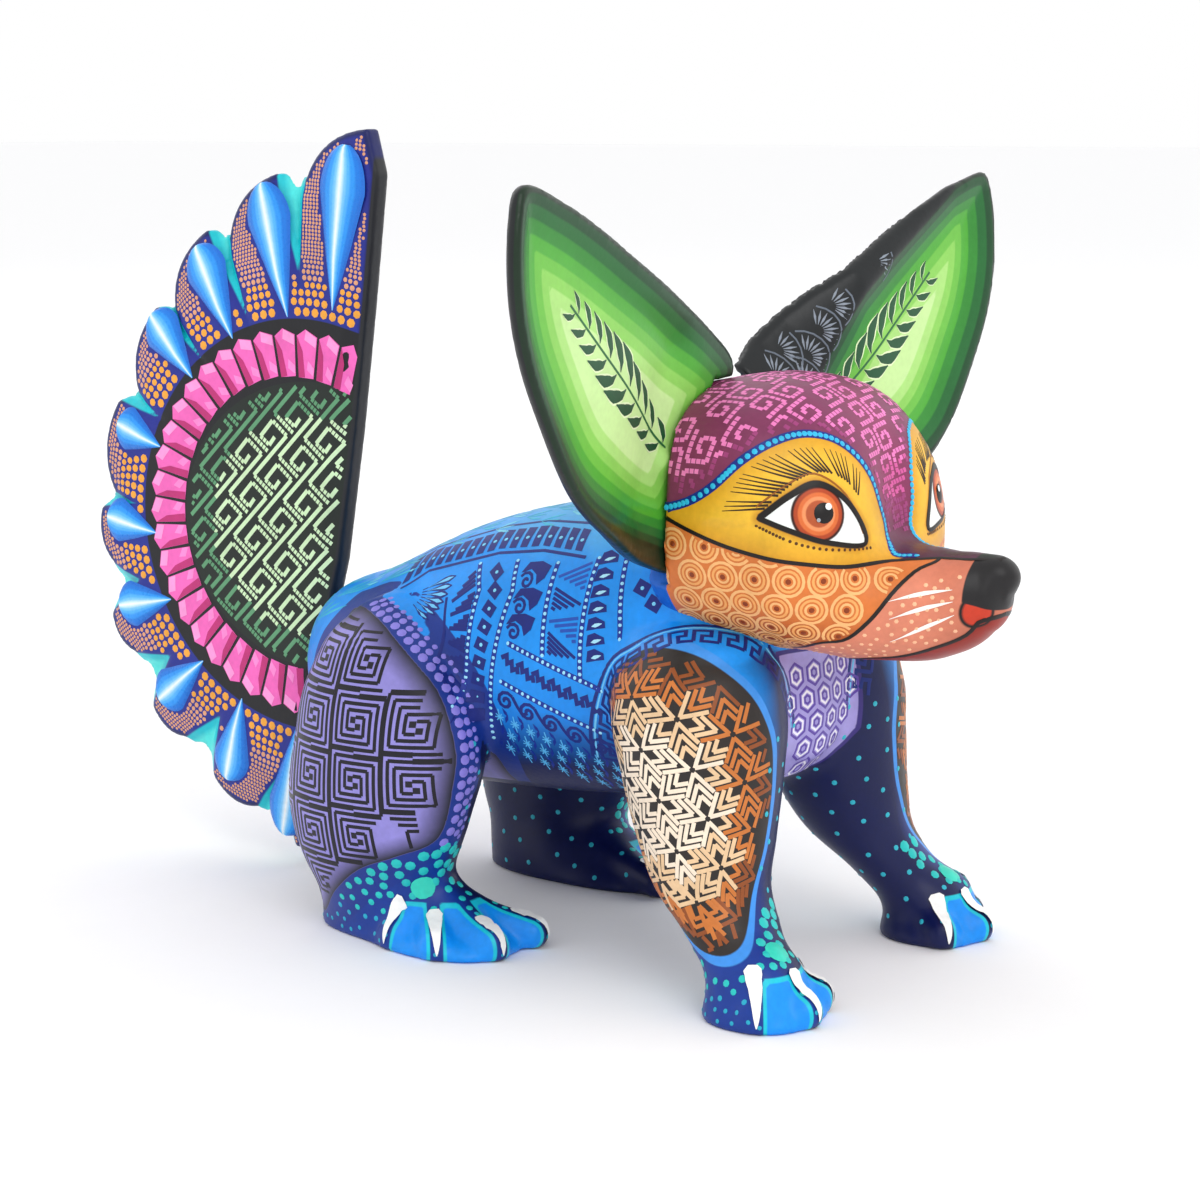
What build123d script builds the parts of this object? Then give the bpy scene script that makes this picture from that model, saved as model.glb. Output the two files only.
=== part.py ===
from build123d import *
import math
import os

# Carved and painted wooden coyote figure, about 31 cm long.  Millimetres, +Z up.
# The animal looks along -Y.  X = 0 is its middle plane and Z = 0 is the table.
# The body, head, legs, ears and tail are separate carved pieces joined with dowels.
# Ears and tail are push-fitted, so each can be pulled off along its own dowel.

os.makedirs("parts", exist_ok=True)

SIDES = (("right", -1), ("left", 1))

# Sizes of the cutters that saw flat faces: well past the wood on every side
SAW_WIDTH = 120
SAW_DEPTH = 60
LONG_SAW = 260

# Fits
GLUE_GAP = 0.05         # radial room for glue round a fixed dowel
RUN_GAP = 0.06          # radial room round a dowel that pulls out
FACE_GAP = 0.25         # between a pull-off piece and the piece that carries it
HOLE_EXTRA = 1.0        # pull-off holes are deeper than their dowels

# Body: (y, middle height, half width, half height) of each cross section
TORSO_SECTIONS = (
    (-99, 68, 12, 9),
    (-95, 69, 21, 17),
    (-84, 76, 31, 31),
    (-62, 79, 37, 38),
    (-31, 77, 39, 39),
    (3, 72, 38, 35),
    (36, 65, 33, 25),
    (56, 69, 21, 17),
    (64, 72, 10, 9),
)
LEG_FACE = 24           # sawn faces that the legs are glued to, distance from the middle
FORE_FACE_Y = (-125, -58)
HIND_FACE_Y = (-24, 48)

# Head: a blunt dome with a flat back, and a muzzle
HEAD_BACK = -70
DOME_CENTRE = (-100, 118)   # y, z
DOME_RADIUS = 36
DOME_DEPTH = 34         # from the centre to the forehead
DOME_TURNS = (0, 15, 30, 45, 60, 72, 81)    # degrees round the dome's elliptic profile
JAW_HEIGHT = 84         # the flat under the jaw, resting on the chest
JAW_FLAT_FRONT = -102
CHEST_CUT_LENGTH = 40   # in front of the head's back, the torso is cut down to the jaw
MUZZLE_SECTIONS = (
    (-106, 106, 31, 21),
    (-122, 101, 24, 18),
    (-136, 99.5, 16, 14),
    (-147, 101, 9.5, 9.5),
    (-151, 102.5, 5, 6),
)
NOSE_CENTRE = (0, -148.5, 106.5)
NOSE_RADIUS = 5.5

# Ears: flat leaves.  Outline points are (along the root line from its middle, outwards from it)
EAR_TOP_ROOT = (15.5, 152)  # ends of the left ear's root line, x and z
EAR_LOW_ROOT = (35, 105)
EAR_MIDDLE_Y = -74.5
EAR_TILT = 5            # degrees that an ear leans forwards
EAR_THICKNESS = 10
EAR_TIP = (-36.5, 102.5)
EAR_INNER_EDGE = ((-36.5, 34.5), (-40.5, 69.5))
EAR_OUTER_EDGE = ((24, 49.5), (5, 84), (-17.5, 102))
EAR_EDGE_ROUND = 2.5
EAR_PEG_RADIUS = 2.2
EAR_PEG_IN_EAR = 15
EAR_PEG_IN_HEAD = 14

# Tail: half a sunburst, standing in the middle plane
FAN_CENTRE = (58, 103)
FAN_LEAN = 9            # degrees that the straight edge leans forward
FAN_THICKNESS = 8
FAN_EDGE_ROUND = 2.0
PETAL_REACH = (111, 100, 95, 91, 92, 96, 96, 97, 96, 97)
PETAL_TOP_ANGLE = 93.5
PETAL_STEP = 19
PETAL_RADIUS = 11.5
PETAL_NOTCH = 12        # depth of the notch between two petals
FAN_CORNERS = (-101, 109)   # outline corners in front of the straight edge, sawn off
TAIL_HEIGHT = 76        # where the tail's dowel crosses the straight edge
TAIL_PEG_RADIUS = 2.6
TAIL_PEG_IN_TAIL = 22
TAIL_PEG_IN_BODY = 18
RUMP_PAD_RADIUS = 8
RUMP_PAD_DEPTH = 16     # how far the pad runs into the rump

# Legs: (height, distance from the middle plane, y, half width, half length) of each section,
# and each foot as (distance from the middle plane, y), (half width, half length, height)
FORELEG_SECTIONS = (
    (0, 43, -104, 12, 11),
    (15, 40, -98, 13, 13),
    (28, 36.5, -91, 14.5, 14.5),
    (40, 33.5, -87, 17.5, 17.5),
    (56, 31, -84, 21, 21),
    (70, 29.5, -82, 22, 22),
    (81, 28, -80, 18, 18),
    (88, 27, -77, 8, 8),
)
FORE_FOOT = ((44, -110), (14.5, 18.5, 17))
FORE_FOOT_TURN = 8
HINDLEG_SECTIONS = (
    (0, 34, 20, 10, 14),
    (14, 39, 18, 14, 21),
    (34, 42, 12, 17, 28),
    (52, 41, 9, 18, 29.5),
    (70, 38, 10, 17.5, 25),
    (84, 34, 12, 12, 15),
    (91, 31, 13, 5, 6),
)
HIND_FOOT = ((34.5, 3), (13.5, 35.5, 19))
HIND_FOOT_TURN = 17     # degrees that a hind foot points outwards
FORE_FACE_LOW = 44      # a leg's sawn face starts at this height, beside the belly
HIND_FACE_LOW = 34
FOOT_TURNS = (0, 20, 40, 58, 72, 82)        # degrees up the foot's elliptic profile

# Fixed dowels
NECK_DOWEL_RADIUS = 6
NECK_DOWEL_HALF = 24
NECK_DOWEL_HEIGHT = 100
LEG_DOWEL_RADIUS = 4
LEG_DOWEL_HALF = 13
FORE_DOWEL = (-83, 66)  # y, z
HIND_DOWEL = (10, 58)


def cross_section(y, height):
    """A plane across the animal, seen from behind."""
    return Plane(origin=(0, y, height), x_dir=(1, 0, 0), z_dir=(0, 1, 0))


def ear_axes(side):
    """An ear's root middle, the direction down its root line, and the direction outwards."""
    top, low = EAR_TOP_ROOT, EAR_LOW_ROOT
    middle = Vector(side * (top[0] + low[0]) / 2, EAR_MIDDLE_Y, (top[1] + low[1]) / 2)
    down = Vector(side * (low[0] - top[0]), 0, low[1] - top[1]).normalized()
    out = Vector(side * (top[1] - low[1]), 0, low[0] - top[0]).normalized()
    tilt = math.radians(EAR_TILT)
    return middle, down, out * math.cos(tilt) - Vector(0, math.sin(tilt), 0)


def ear_root(side):
    """The root plane of an ear: +X down the root line, +Z out along the ear's dowel."""
    middle, down, out = ear_axes(side)
    return Plane(origin=middle, x_dir=down, z_dir=out)


def ear_leaf(side):
    """The middle plane of an ear's leaf: +X down the root line, +Y outwards."""
    middle, down, out = ear_axes(side)
    return Plane(origin=middle, x_dir=down, z_dir=down.cross(out))


def tail_frame():
    """The tail's straight edge where the dowel crosses it: +Z runs backwards out of the body."""
    lean = math.radians(FAN_LEAN)
    y = FAN_CENTRE[0] + (FAN_CENTRE[1] - TAIL_HEIGHT) * math.tan(lean)
    return Plane(origin=(0, y, TAIL_HEIGHT), x_dir=(1, 0, 0), z_dir=(0, math.cos(lean), math.sin(lean)))


def leg_dowel_frame(side, place):
    """On a leg's sawn face, +Z outwards."""
    return Plane(origin=(side * LEG_FACE, *place), x_dir=(0, 1, 0), z_dir=(side, 0, 0))


NECK_FRAME = Plane(origin=(0, HEAD_BACK, NECK_DOWEL_HEIGHT), x_dir=(1, 0, 0), z_dir=(0, -1, 0))

# Body

with BuildPart() as torso:
    for y, height, half_width, half_height in TORSO_SECTIONS:
        with BuildSketch(cross_section(y, height)):
            Ellipse(half_width, half_height)
    loft()
    # the chest passes under the jaw, and the neck ends in a flat face behind the head
    with BuildSketch(Plane.XY.offset(JAW_HEIGHT)):
        with Locations((0, HEAD_BACK - CHEST_CUT_LENGTH / 2)):
            Rectangle(SAW_WIDTH, CHEST_CUT_LENGTH)
    extrude(amount=SAW_DEPTH, mode=Mode.SUBTRACT)
    # sawn faces for the legs
    for side in (-1, 1):
        with BuildSketch(Plane.YZ.offset(side * LEG_FACE)):
            for start, end in (FORE_FACE_Y, HIND_FACE_Y):
                with Locations(((start + end) / 2, SAW_WIDTH / 2)):
                    Rectangle(end - start, SAW_WIDTH)
        extrude(amount=side * SAW_DEPTH, mode=Mode.SUBTRACT)
    # a flat round pad that the tail stands against, just clear of it
    with BuildSketch(tail_frame().offset(-FACE_GAP)):
        Circle(RUMP_PAD_RADIUS)
    extrude(amount=-RUMP_PAD_DEPTH)
    with BuildSketch(tail_frame().offset(-FACE_GAP)):
        Rectangle(SAW_WIDTH, SAW_WIDTH)
    extrude(amount=SAW_DEPTH, mode=Mode.SUBTRACT)
    # dowel holes
    with BuildSketch(tail_frame()):
        Circle(TAIL_PEG_RADIUS + RUN_GAP)
    extrude(amount=-TAIL_PEG_IN_BODY - HOLE_EXTRA, mode=Mode.SUBTRACT)
    with BuildSketch(NECK_FRAME):
        Circle(NECK_DOWEL_RADIUS + GLUE_GAP)
    extrude(amount=-NECK_DOWEL_HALF, mode=Mode.SUBTRACT)
    for side in (-1, 1):
        for place in (FORE_DOWEL, HIND_DOWEL):
            with BuildSketch(leg_dowel_frame(side, place)):
                Circle(LEG_DOWEL_RADIUS + GLUE_GAP)
            extrude(amount=-LEG_DOWEL_HALF, mode=Mode.SUBTRACT)
torso.part.label = "torso"
export_step(torso.part, "parts/torso.step")

# Head

with BuildPart() as head:
    with BuildSketch(cross_section(HEAD_BACK, DOME_CENTRE[1])):
        Circle(DOME_RADIUS)
    extrude(amount=DOME_CENTRE[0] - HEAD_BACK)
    for turn in DOME_TURNS:
        y = DOME_CENTRE[0] - DOME_DEPTH * math.sin(math.radians(turn))
        with BuildSketch(cross_section(y, DOME_CENTRE[1])):
            Circle(DOME_RADIUS * math.cos(math.radians(turn)))
    loft()
    for y, height, half_width, half_height in MUZZLE_SECTIONS:
        with BuildSketch(cross_section(y, height)):
            Ellipse(half_width, half_height)
    loft()
    with Locations(NOSE_CENTRE):
        Sphere(NOSE_RADIUS)
    # flat under the jaw where it rests on the chest
    with BuildSketch(Plane.XY.offset(JAW_HEIGHT)):
        with Locations((0, (HEAD_BACK + JAW_FLAT_FRONT) / 2)):
            Rectangle(SAW_WIDTH, HEAD_BACK - JAW_FLAT_FRONT)
    extrude(amount=-SAW_DEPTH, mode=Mode.SUBTRACT)
    # a rebate on each side, open to the back, where an ear stands, and its dowel hole
    for side in (-1, 1):
        root = ear_root(side).offset(-FACE_GAP)
        with BuildSketch(root):
            with Locations((0, side * EAR_THICKNESS / 2)):
                Rectangle(SAW_WIDTH, 2 * EAR_THICKNESS + 2 * FACE_GAP)
        extrude(amount=SAW_DEPTH, mode=Mode.SUBTRACT)
        with BuildSketch(root):
            Circle(EAR_PEG_RADIUS + RUN_GAP)
        extrude(amount=-EAR_PEG_IN_HEAD - HOLE_EXTRA, mode=Mode.SUBTRACT)
    with BuildSketch(NECK_FRAME):
        Circle(NECK_DOWEL_RADIUS + GLUE_GAP)
    extrude(amount=NECK_DOWEL_HALF, mode=Mode.SUBTRACT)
head.part.label = "head"
export_step(head.part, "parts/head.step")

with BuildPart() as neck_dowel:
    with BuildSketch(NECK_FRAME):
        Circle(NECK_DOWEL_RADIUS)
    extrude(amount=NECK_DOWEL_HALF, both=True)
neck_dowel.part.label = "neck_dowel"
export_step(neck_dowel.part, "parts/neck_dowel.step")

# Ears


for name, side in SIDES:
    root_half = math.dist(EAR_TOP_ROOT, EAR_LOW_ROOT) / 2
    with BuildPart() as ear:
        with BuildSketch(ear_leaf(side)):
            with BuildLine():
                Spline((-root_half, 0), *EAR_INNER_EDGE, EAR_TIP)
                Spline((root_half, 0), *EAR_OUTER_EDGE, EAR_TIP)
                Line((-root_half, 0), (root_half, 0))
            make_face()
        extrude(amount=EAR_THICKNESS / 2, both=True)
        fillet(ear.edges().filter_by(GeomType.BSPLINE), EAR_EDGE_ROUND)
        with BuildSketch(ear_root(side)):
            Circle(EAR_PEG_RADIUS + GLUE_GAP)
        extrude(amount=EAR_PEG_IN_EAR, mode=Mode.SUBTRACT)
    ear.part.label = f"{name}_ear"
    export_step(ear.part, f"parts/{name}_ear.step")

    with BuildPart() as ear_peg:
        with BuildSketch(ear_root(side).offset(-EAR_PEG_IN_HEAD)):
            Circle(EAR_PEG_RADIUS)
        extrude(amount=EAR_PEG_IN_HEAD + EAR_PEG_IN_EAR)
    ear_peg.part.label = f"{name}_ear_peg"
    export_step(ear_peg.part, f"parts/{name}_ear_peg.step")

# Tail

TAIL_FRAME = tail_frame()


def on_fan(reach, angle):
    """A point of the fan's outline, at a reach and an angle from the fan's centre."""
    turn = math.radians(angle)
    return (FAN_CENTRE[0] + reach * math.cos(turn), FAN_CENTRE[1] + reach * math.sin(turn))


petal_angles = [PETAL_TOP_ANGLE - PETAL_STEP * i for i in range(len(PETAL_REACH))]
with BuildPart() as tail_fan:
    with BuildSketch(Plane.YZ) as outline:
        with BuildLine():
            heart = [on_fan(reach - PETAL_NOTCH, angle) for reach, angle in zip(PETAL_REACH, petal_angles)]
            past_edge = [on_fan(PETAL_REACH[-1] - PETAL_NOTCH, angle) for angle in FAN_CORNERS]
            Polyline(*heart, *past_edge, close=True)
        make_face()
        for reach, angle in zip(PETAL_REACH, petal_angles):
            with Locations(on_fan(reach - PETAL_RADIUS, angle)):
                Circle(PETAL_RADIUS)
        # the straight edge that faces the back of the animal
        with Locations(Location((*FAN_CENTRE, 0), FAN_LEAN)):
            with Locations((-SAW_DEPTH / 2, 0)):
                Rectangle(SAW_DEPTH, LONG_SAW, mode=Mode.SUBTRACT)
    extrude(amount=FAN_THICKNESS / 2, both=True)
    fillet(tail_fan.faces().filter_by(Plane.YZ).edges(), FAN_EDGE_ROUND)
    with BuildSketch(TAIL_FRAME):
        Circle(TAIL_PEG_RADIUS + GLUE_GAP)
    extrude(amount=TAIL_PEG_IN_TAIL, mode=Mode.SUBTRACT)
tail_fan.part.label = "tail_fan"
export_step(tail_fan.part, "parts/tail_fan.step")

with BuildPart() as tail_peg:
    with BuildSketch(TAIL_FRAME.offset(-TAIL_PEG_IN_BODY)):
        Circle(TAIL_PEG_RADIUS)
    extrude(amount=TAIL_PEG_IN_BODY + TAIL_PEG_IN_TAIL)
tail_peg.part.label = "tail_peg"
export_step(tail_peg.part, "parts/tail_peg.step")

# Legs

LEGS = (
    ("foreleg", FORELEG_SECTIONS, FORE_FOOT, FORE_FOOT_TURN, FORE_FACE_LOW, FORE_DOWEL),
    ("hindleg", HINDLEG_SECTIONS, HIND_FOOT, HIND_FOOT_TURN, HIND_FACE_LOW, HIND_DOWEL),
)
for side_name, side in SIDES:
    for leg_name, sections, (foot_place, foot_radii), foot_turn, face_low, dowel_place in LEGS:
        with BuildPart() as leg:
            for height, x, y, half_width, half_length in sections:
                with BuildSketch(Plane.XY.offset(height)):
                    with Locations((side * x, y)):
                        Ellipse(half_width, half_length)
            loft()
            for turn in FOOT_TURNS:
                narrow = math.cos(math.radians(turn))
                with BuildSketch(Plane.XY.offset(foot_radii[2] * math.sin(math.radians(turn)))):
                    with Locations((side * foot_place[0], foot_place[1])):
                        Ellipse(foot_radii[0] * narrow, foot_radii[1] * narrow, rotation=side * foot_turn)
            loft()
            # the sawn face, and half of the dowel's hole
            with BuildSketch(Plane.YZ.offset(side * LEG_FACE)):
                with Locations((0, face_low + SAW_WIDTH / 2)):
                    Rectangle(LONG_SAW, SAW_WIDTH)
            extrude(amount=-side * SAW_DEPTH, mode=Mode.SUBTRACT)
            with BuildSketch(leg_dowel_frame(side, dowel_place)):
                Circle(LEG_DOWEL_RADIUS + GLUE_GAP)
            extrude(amount=LEG_DOWEL_HALF, mode=Mode.SUBTRACT)
        leg.part.label = f"{side_name}_{leg_name}"
        export_step(leg.part, f"parts/{side_name}_{leg_name}.step")

        with BuildPart() as leg_dowel:
            with BuildSketch(leg_dowel_frame(side, dowel_place)):
                Circle(LEG_DOWEL_RADIUS)
            extrude(amount=LEG_DOWEL_HALF, both=True)
        leg_dowel.part.label = f"{side_name}_{leg_name}_dowel"
        export_step(leg_dowel.part, f"parts/{side_name}_{leg_name}_dowel.step")
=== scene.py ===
import math
import bpy
import numpy as np
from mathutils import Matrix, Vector
from mathutils.bvhtree import BVHTree
from mathutils.geometry import delaunay_2d_cdt


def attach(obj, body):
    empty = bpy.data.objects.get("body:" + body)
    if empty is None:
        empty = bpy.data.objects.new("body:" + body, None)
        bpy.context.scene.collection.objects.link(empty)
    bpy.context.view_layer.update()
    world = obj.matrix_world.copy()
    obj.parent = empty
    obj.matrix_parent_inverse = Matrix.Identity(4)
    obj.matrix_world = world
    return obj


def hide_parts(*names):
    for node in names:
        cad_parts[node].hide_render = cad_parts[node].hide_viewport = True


# A carved and painted wooden coyote.  Shapes are worked out in millimetres as distance fields,
# turned into even meshes, and given to Blender in metres in the frame of the CAD model.

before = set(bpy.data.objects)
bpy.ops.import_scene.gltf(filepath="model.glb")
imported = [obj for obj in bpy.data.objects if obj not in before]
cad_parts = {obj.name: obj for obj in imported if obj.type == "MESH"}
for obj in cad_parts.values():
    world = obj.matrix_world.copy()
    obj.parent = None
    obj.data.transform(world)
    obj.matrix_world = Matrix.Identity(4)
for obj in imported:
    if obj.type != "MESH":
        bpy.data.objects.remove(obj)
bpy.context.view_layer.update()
MM = 0.001
UP = np.array((0.0, 0.0, 1.0))


# ---------------------------------------------------------------- camera

CAMERA_PLACE = (-600, -454, 216)
CAMERA_TURN = -54.8     # degrees, from looking along +Y towards +X
CAMERA_DIP = 9.8
CAMERA_LENS = 83.43

camera = bpy.data.objects.new("camera", bpy.data.cameras.new("camera"))
camera.data.lens = CAMERA_LENS
camera.data.sensor_width = 36
camera.data.clip_start = 0.01
camera.location = Vector(CAMERA_PLACE) * MM
camera.rotation_euler = (math.radians(90 - CAMERA_DIP), 0, math.radians(CAMERA_TURN))
bpy.context.collection.objects.link(camera)
bpy.context.scene.camera = camera

# ---------------------------------------------------------------- distance fields


def merge(a, b, soft):
    """Union of two fields with a rounded inner corner."""
    h = np.clip(0.5 + 0.5 * (b - a) / soft, 0, 1)
    return b * (1 - h) + a * h - soft * h * (1 - h)


def cut(a, b, soft):
    """Field a with b taken away, the new edge rounded."""
    return -merge(-a, b, soft)


def cubic(s, a, b, slope_a, slope_b, step=1):
    """Smooth values from a to b over a step, with the slopes given at both ends."""
    return (
        (1 + 2 * s) * (1 - s) ** 2 * a
        + s * (1 - s) ** 2 * step * slope_a
        + s * s * (3 - 2 * s) * b
        + s * s * (s - 1) * step * slope_b
    )


def table_at(x, table):
    """Smooth values between the rows of a table whose first column is the place."""
    rows = np.array(table, float)
    places, values = rows[:, 0], rows[:, 1:]
    slopes = np.gradient(values, places, axis=0)
    i = np.clip(np.searchsorted(places, x) - 1, 0, len(places) - 2)
    step = (places[i + 1] - places[i])[:, None]
    s = np.clip((x - places[i])[:, None] / step, 0, 1)
    return cubic(s, values[i], values[i + 1], slopes[i], slopes[i + 1], step)


def swept(p, axis, table):
    """A form with elliptic sections along an axis; rows are place, centre u v, radius u v."""
    along = p[:, axis]
    u, v = (p[:, i] for i in range(3) if i != axis)
    first, last = table[0][0], table[-1][0]
    cu, cv, ru, rv = table_at(np.clip(along, first, last), table).T
    side = (np.hypot((u - cu) / ru, (v - cv) / rv) - 1) * np.minimum(ru, rv)
    return np.maximum(side, np.maximum(first - along, along - last))


def ellipsoid(p, centre, radii, power=2.0):
    """An ellipsoid, squarer for a higher power."""
    q = np.abs((p - centre) / radii)
    return ((q**power).sum(1) ** (1 / power) - 1) * min(radii)


def capsule(p, start, end, start_radius, end_radius):
    """A round bar whose radius changes from one end to the other."""
    start, along = np.array(start, float), np.subtract(end, start)
    t = np.clip((p - start) @ along / (along @ along), 0, 1)
    away = np.linalg.norm(p - start - t[:, None] * along, axis=1)
    return away - (start_radius + (end_radius - start_radius) * t)


def fade(x, start, end):
    """From 0 at the start to 1 at the end, eased at both."""
    t = np.clip((x - start) / (end - start), 0, 1)
    return t * t * (3 - 2 * t)


# ---------------------------------------------------------------- meshes

BATCH = 400000      # points of a field worked out at a time
SETTLE_ROUNDS = 3   # how often a mesh is evened out and brought back onto its surface


def net(field, low, high, step):
    """Points and four-sided faces of the zero surface of a field, one point per crossed cell."""
    axes = [np.arange(a, b + step, step) for a, b in zip(low, high)]
    shape = tuple(len(a) for a in axes)
    grid = np.stack(np.meshgrid(*axes, indexing="ij"), -1).reshape(-1, 3)
    batches = np.array_split(grid, len(grid) // BATCH + 1)
    values = np.concatenate([field(batch) for batch in batches]).reshape(shape)
    inside = values < 0
    cells = tuple(n - 1 for n in shape)
    total, count = np.zeros(cells + (3,)), np.zeros(cells)
    corner = np.indices(cells).transpose(1, 2, 3, 0)
    for axis in range(3):
        others = [i for i in range(3) if i != axis]
        for du in (0, 1):
            for dv in (0, 1):
                offset = np.zeros(3, int)
                offset[others[0]], offset[others[1]] = du, dv
                here = tuple(slice(o, o + n) for o, n in zip(offset, cells))
                offset[axis] = 1
                there = tuple(slice(o, o + n) for o, n in zip(offset, cells))
                offset[axis] = 0
                a, b = values[here], values[there]
                crossed = inside[here] != inside[there]
                t = np.where(crossed, a / np.where(crossed, a - b, 1), 0)
                place = (corner + offset).astype(float)
                place[..., axis] += t
                total += np.where(crossed[..., None], place, 0)
                count += crossed
    used = count > 0
    index = np.full(cells, -1)
    index[used] = np.arange(used.sum())
    points = total[used] / count[used][:, None] * step + [a[0] for a in axes]
    faces = []
    for axis in range(3):
        u, v = [i for i in range(3) if i != axis]
        a = np.take(inside, range(shape[axis] - 1), axis)
        b = np.take(inside, range(1, shape[axis]), axis)
        flips = np.argwhere(a != b)
        for i in (u, v):
            flips = flips[(flips[:, i] > 0) & (flips[:, i] < cells[i])]
        ring = []
        for du, dv in ((-1, -1), (0, -1), (0, 0), (-1, 0)):
            cell = flips.copy()
            cell[:, u] += du
            cell[:, v] += dv
            ring.append(index[tuple(cell.T)])
        quads = np.stack(ring, 1)
        outward = a[tuple(flips.T)] ^ (axis == 1)
        quads[~outward] = quads[~outward][:, ::-1]
        faces.append(quads)
    return points, np.concatenate(faces)


def gradient(field, p, reach=0.2):
    """The unit direction in which a field grows, and how fast."""
    slope = np.stack([field(p + reach * e) - field(p - reach * e) for e in np.eye(3)], 1) / (2 * reach)
    size = np.linalg.norm(slope, axis=1)
    return slope / np.maximum(size, 1e-9)[:, None], size


def settle(field, p, faces):
    """Even the points out over the surface and bring them onto it."""
    edges = np.concatenate([faces[:, [i, (i + 1) % 4]] for i in range(4)])
    for _ in range(SETTLE_ROUNDS):
        near, number = np.zeros_like(p), np.zeros(len(p))
        np.add.at(near, edges[:, 0], p[edges[:, 1]])
        np.add.at(number, edges[:, 0], 1)
        p = 0.5 * p + 0.5 * near / number[:, None]
        for _ in range(2):
            direction, speed = gradient(field, p)
            move = np.clip(field(p) / np.maximum(speed, 0.3), -0.6, 0.6)
            p = p - direction * move[:, None]
    return p


def make_piece(name, points, faces, body):
    """A smooth mesh object from points in millimetres, riding on a body."""
    mesh = bpy.data.meshes.new(name)
    mesh.from_pydata((points * MM).tolist(), [], faces)
    mesh.shade_smooth()
    piece = bpy.data.objects.new(name, mesh)
    bpy.context.collection.objects.link(piece)
    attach(piece, body)
    return piece


def skin(name, field, low, high, step, body):
    """An even mesh over the zero surface of a field."""
    points, faces = net(field, low, high, step)
    points = settle(field, points, faces)
    return make_piece(name, points, faces.tolist(), body)


def give(piece, name, values):
    """Store one number per point, for the materials."""
    attribute = piece.data.attributes.new(name, "FLOAT", "POINT")
    attribute.data.foreach_set("value", np.asarray(values, np.float32))


def given(piece, name):
    """The numbers stored on a piece under a name."""
    values = np.empty(len(piece.data.vertices), np.float32)
    piece.data.attributes[name].data.foreach_get("value", values)
    return values


def vertex_rows(piece, kind):
    """Three numbers for each point of a piece: its place in metres or its normal."""
    flat = np.empty(len(piece.data.vertices) * 3, np.float32)
    piece.data.vertices.foreach_get(kind, flat)
    return flat.reshape(-1, 3).astype(float)


def points_of(piece):
    return vertex_rows(piece, "co") / MM


def normals_of(piece):
    return vertex_rows(piece, "normal")


# ---------------------------------------------------------------- body and legs

TORSO = (       # y, centre x z, half width and height
    (-101, 0, 68, 3, 2.5),
    (-100, 0, 68, 9, 8),
    (-96, 0, 69, 18, 16),
    (-88, 0, 73, 26, 25),
    (-76, 0, 77, 32, 34),
    (-58, 0, 79, 36, 38.5),
    (-31, 0, 77, 38.5, 39.5),
    (3, 0, 72, 38, 36),
    (36, 0, 65, 33, 28),
    (54, 0, 66, 22, 20),
    (63, 0, 70, 9, 9),
)
NECK = ((0, -62, 88), (0, -84, 104), 30, 26)
FORELEG = (     # z, centre x y, half width and length
    (-2, 44.5, -112, 8, 7.5),
    (8, 43, -106.5, 10, 10),
    (18, 40, -99.5, 12, 12),
    (28, 36.5, -91, 14.5, 14.5),
    (40, 33.5, -87, 17.5, 17.5),
    (56, 31, -84, 20.5, 20.5),
    (70, 29.5, -82, 22, 22),
    (84, 27, -80.5, 18, 18),
    (92, 25, -80, 8, 8),
    (93, 25, -80, 4, 4),
)
HINDLEG = (
    (-2, 36, 9, 8, 12),
    (5, 37.5, 11, 11.5, 17),
    (16, 40, 13.5, 14, 22),
    (34, 42, 12, 17, 28),
    (52, 41, 9, 18, 29.5),
    (70, 38, 10, 17.5, 25),
    (84, 34, 12, 12, 15),
    (90, 31, 13, 5, 6),
    (91, 31, 13, 2, 3),
)
# each foot: instep centre and radii, then the tips of its toes where they meet the table
FORE_INSTEP = ((44, -109, 3), (12.5, 12, 15))
FORE_WEB = ((43.5, -112, 0), (14.5, 13, 6))
FORE_TOES = ((57.5, -117), (45, -127), (30, -122))
FORE_TOE_ROOT = (42, -106, 10)
HIND_INSTEP = ((38, 5, 2), (12.5, 28, 15))
HIND_WEB = ((40.5, -10, 0), (15.5, 20.5, 6))
HIND_TOES = ((54.5, 0), (55.5, -18), (45.5, -32), (28.5, -34))
HIND_TOE_ROOT = (37, -1, 10)
TOE_RADIUS = 4.3
TOE_ROOT_RADIUS = 5
FORE_FOOT = (FORE_INSTEP, FORE_WEB, FORE_TOES, FORE_TOE_ROOT)
HIND_FOOT = (HIND_INSTEP, HIND_WEB, HIND_TOES, HIND_TOE_ROOT)
TOE_SETS = ((FORE_TOES, FORE_TOE_ROOT), (HIND_TOES, HIND_TOE_ROOT))


def foot_field(q, instep, web, tips, root):
    """A foot whose toes fan out over a lower web."""
    d = merge(ellipsoid(q, *instep, power=2.3), ellipsoid(q, *web, power=2.4), 4)
    for tip in tips:
        back = np.subtract(root[:2], tip)
        end = (*(np.array(tip) + back / np.linalg.norm(back) * TOE_RADIUS), TOE_RADIUS - 0.4)
        d = merge(d, capsule(q, root, end, TOE_ROOT_RADIUS, TOE_RADIUS), 2)
    return d


def trunk_field(p):
    """The torso and the neck, without the legs."""
    return merge(swept(p, 1, TORSO), capsule(p, *NECK), 10)


def body_field(p):
    """Torso, neck, legs and feet in one form, flat where it stands."""
    q = p.copy()
    q[:, 0] = np.abs(q[:, 0])
    fore = merge(swept(q, 2, FORELEG), foot_field(q, *FORE_FOOT), 4)
    hind = merge(swept(q, 2, HINDLEG), foot_field(q, *HIND_FOOT), 5)
    d = merge(merge(trunk_field(p), fore, 8), hind, 4)
    return cut(d, p[:, 2], 1.0)


# ---------------------------------------------------------------- frames of the ears

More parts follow.
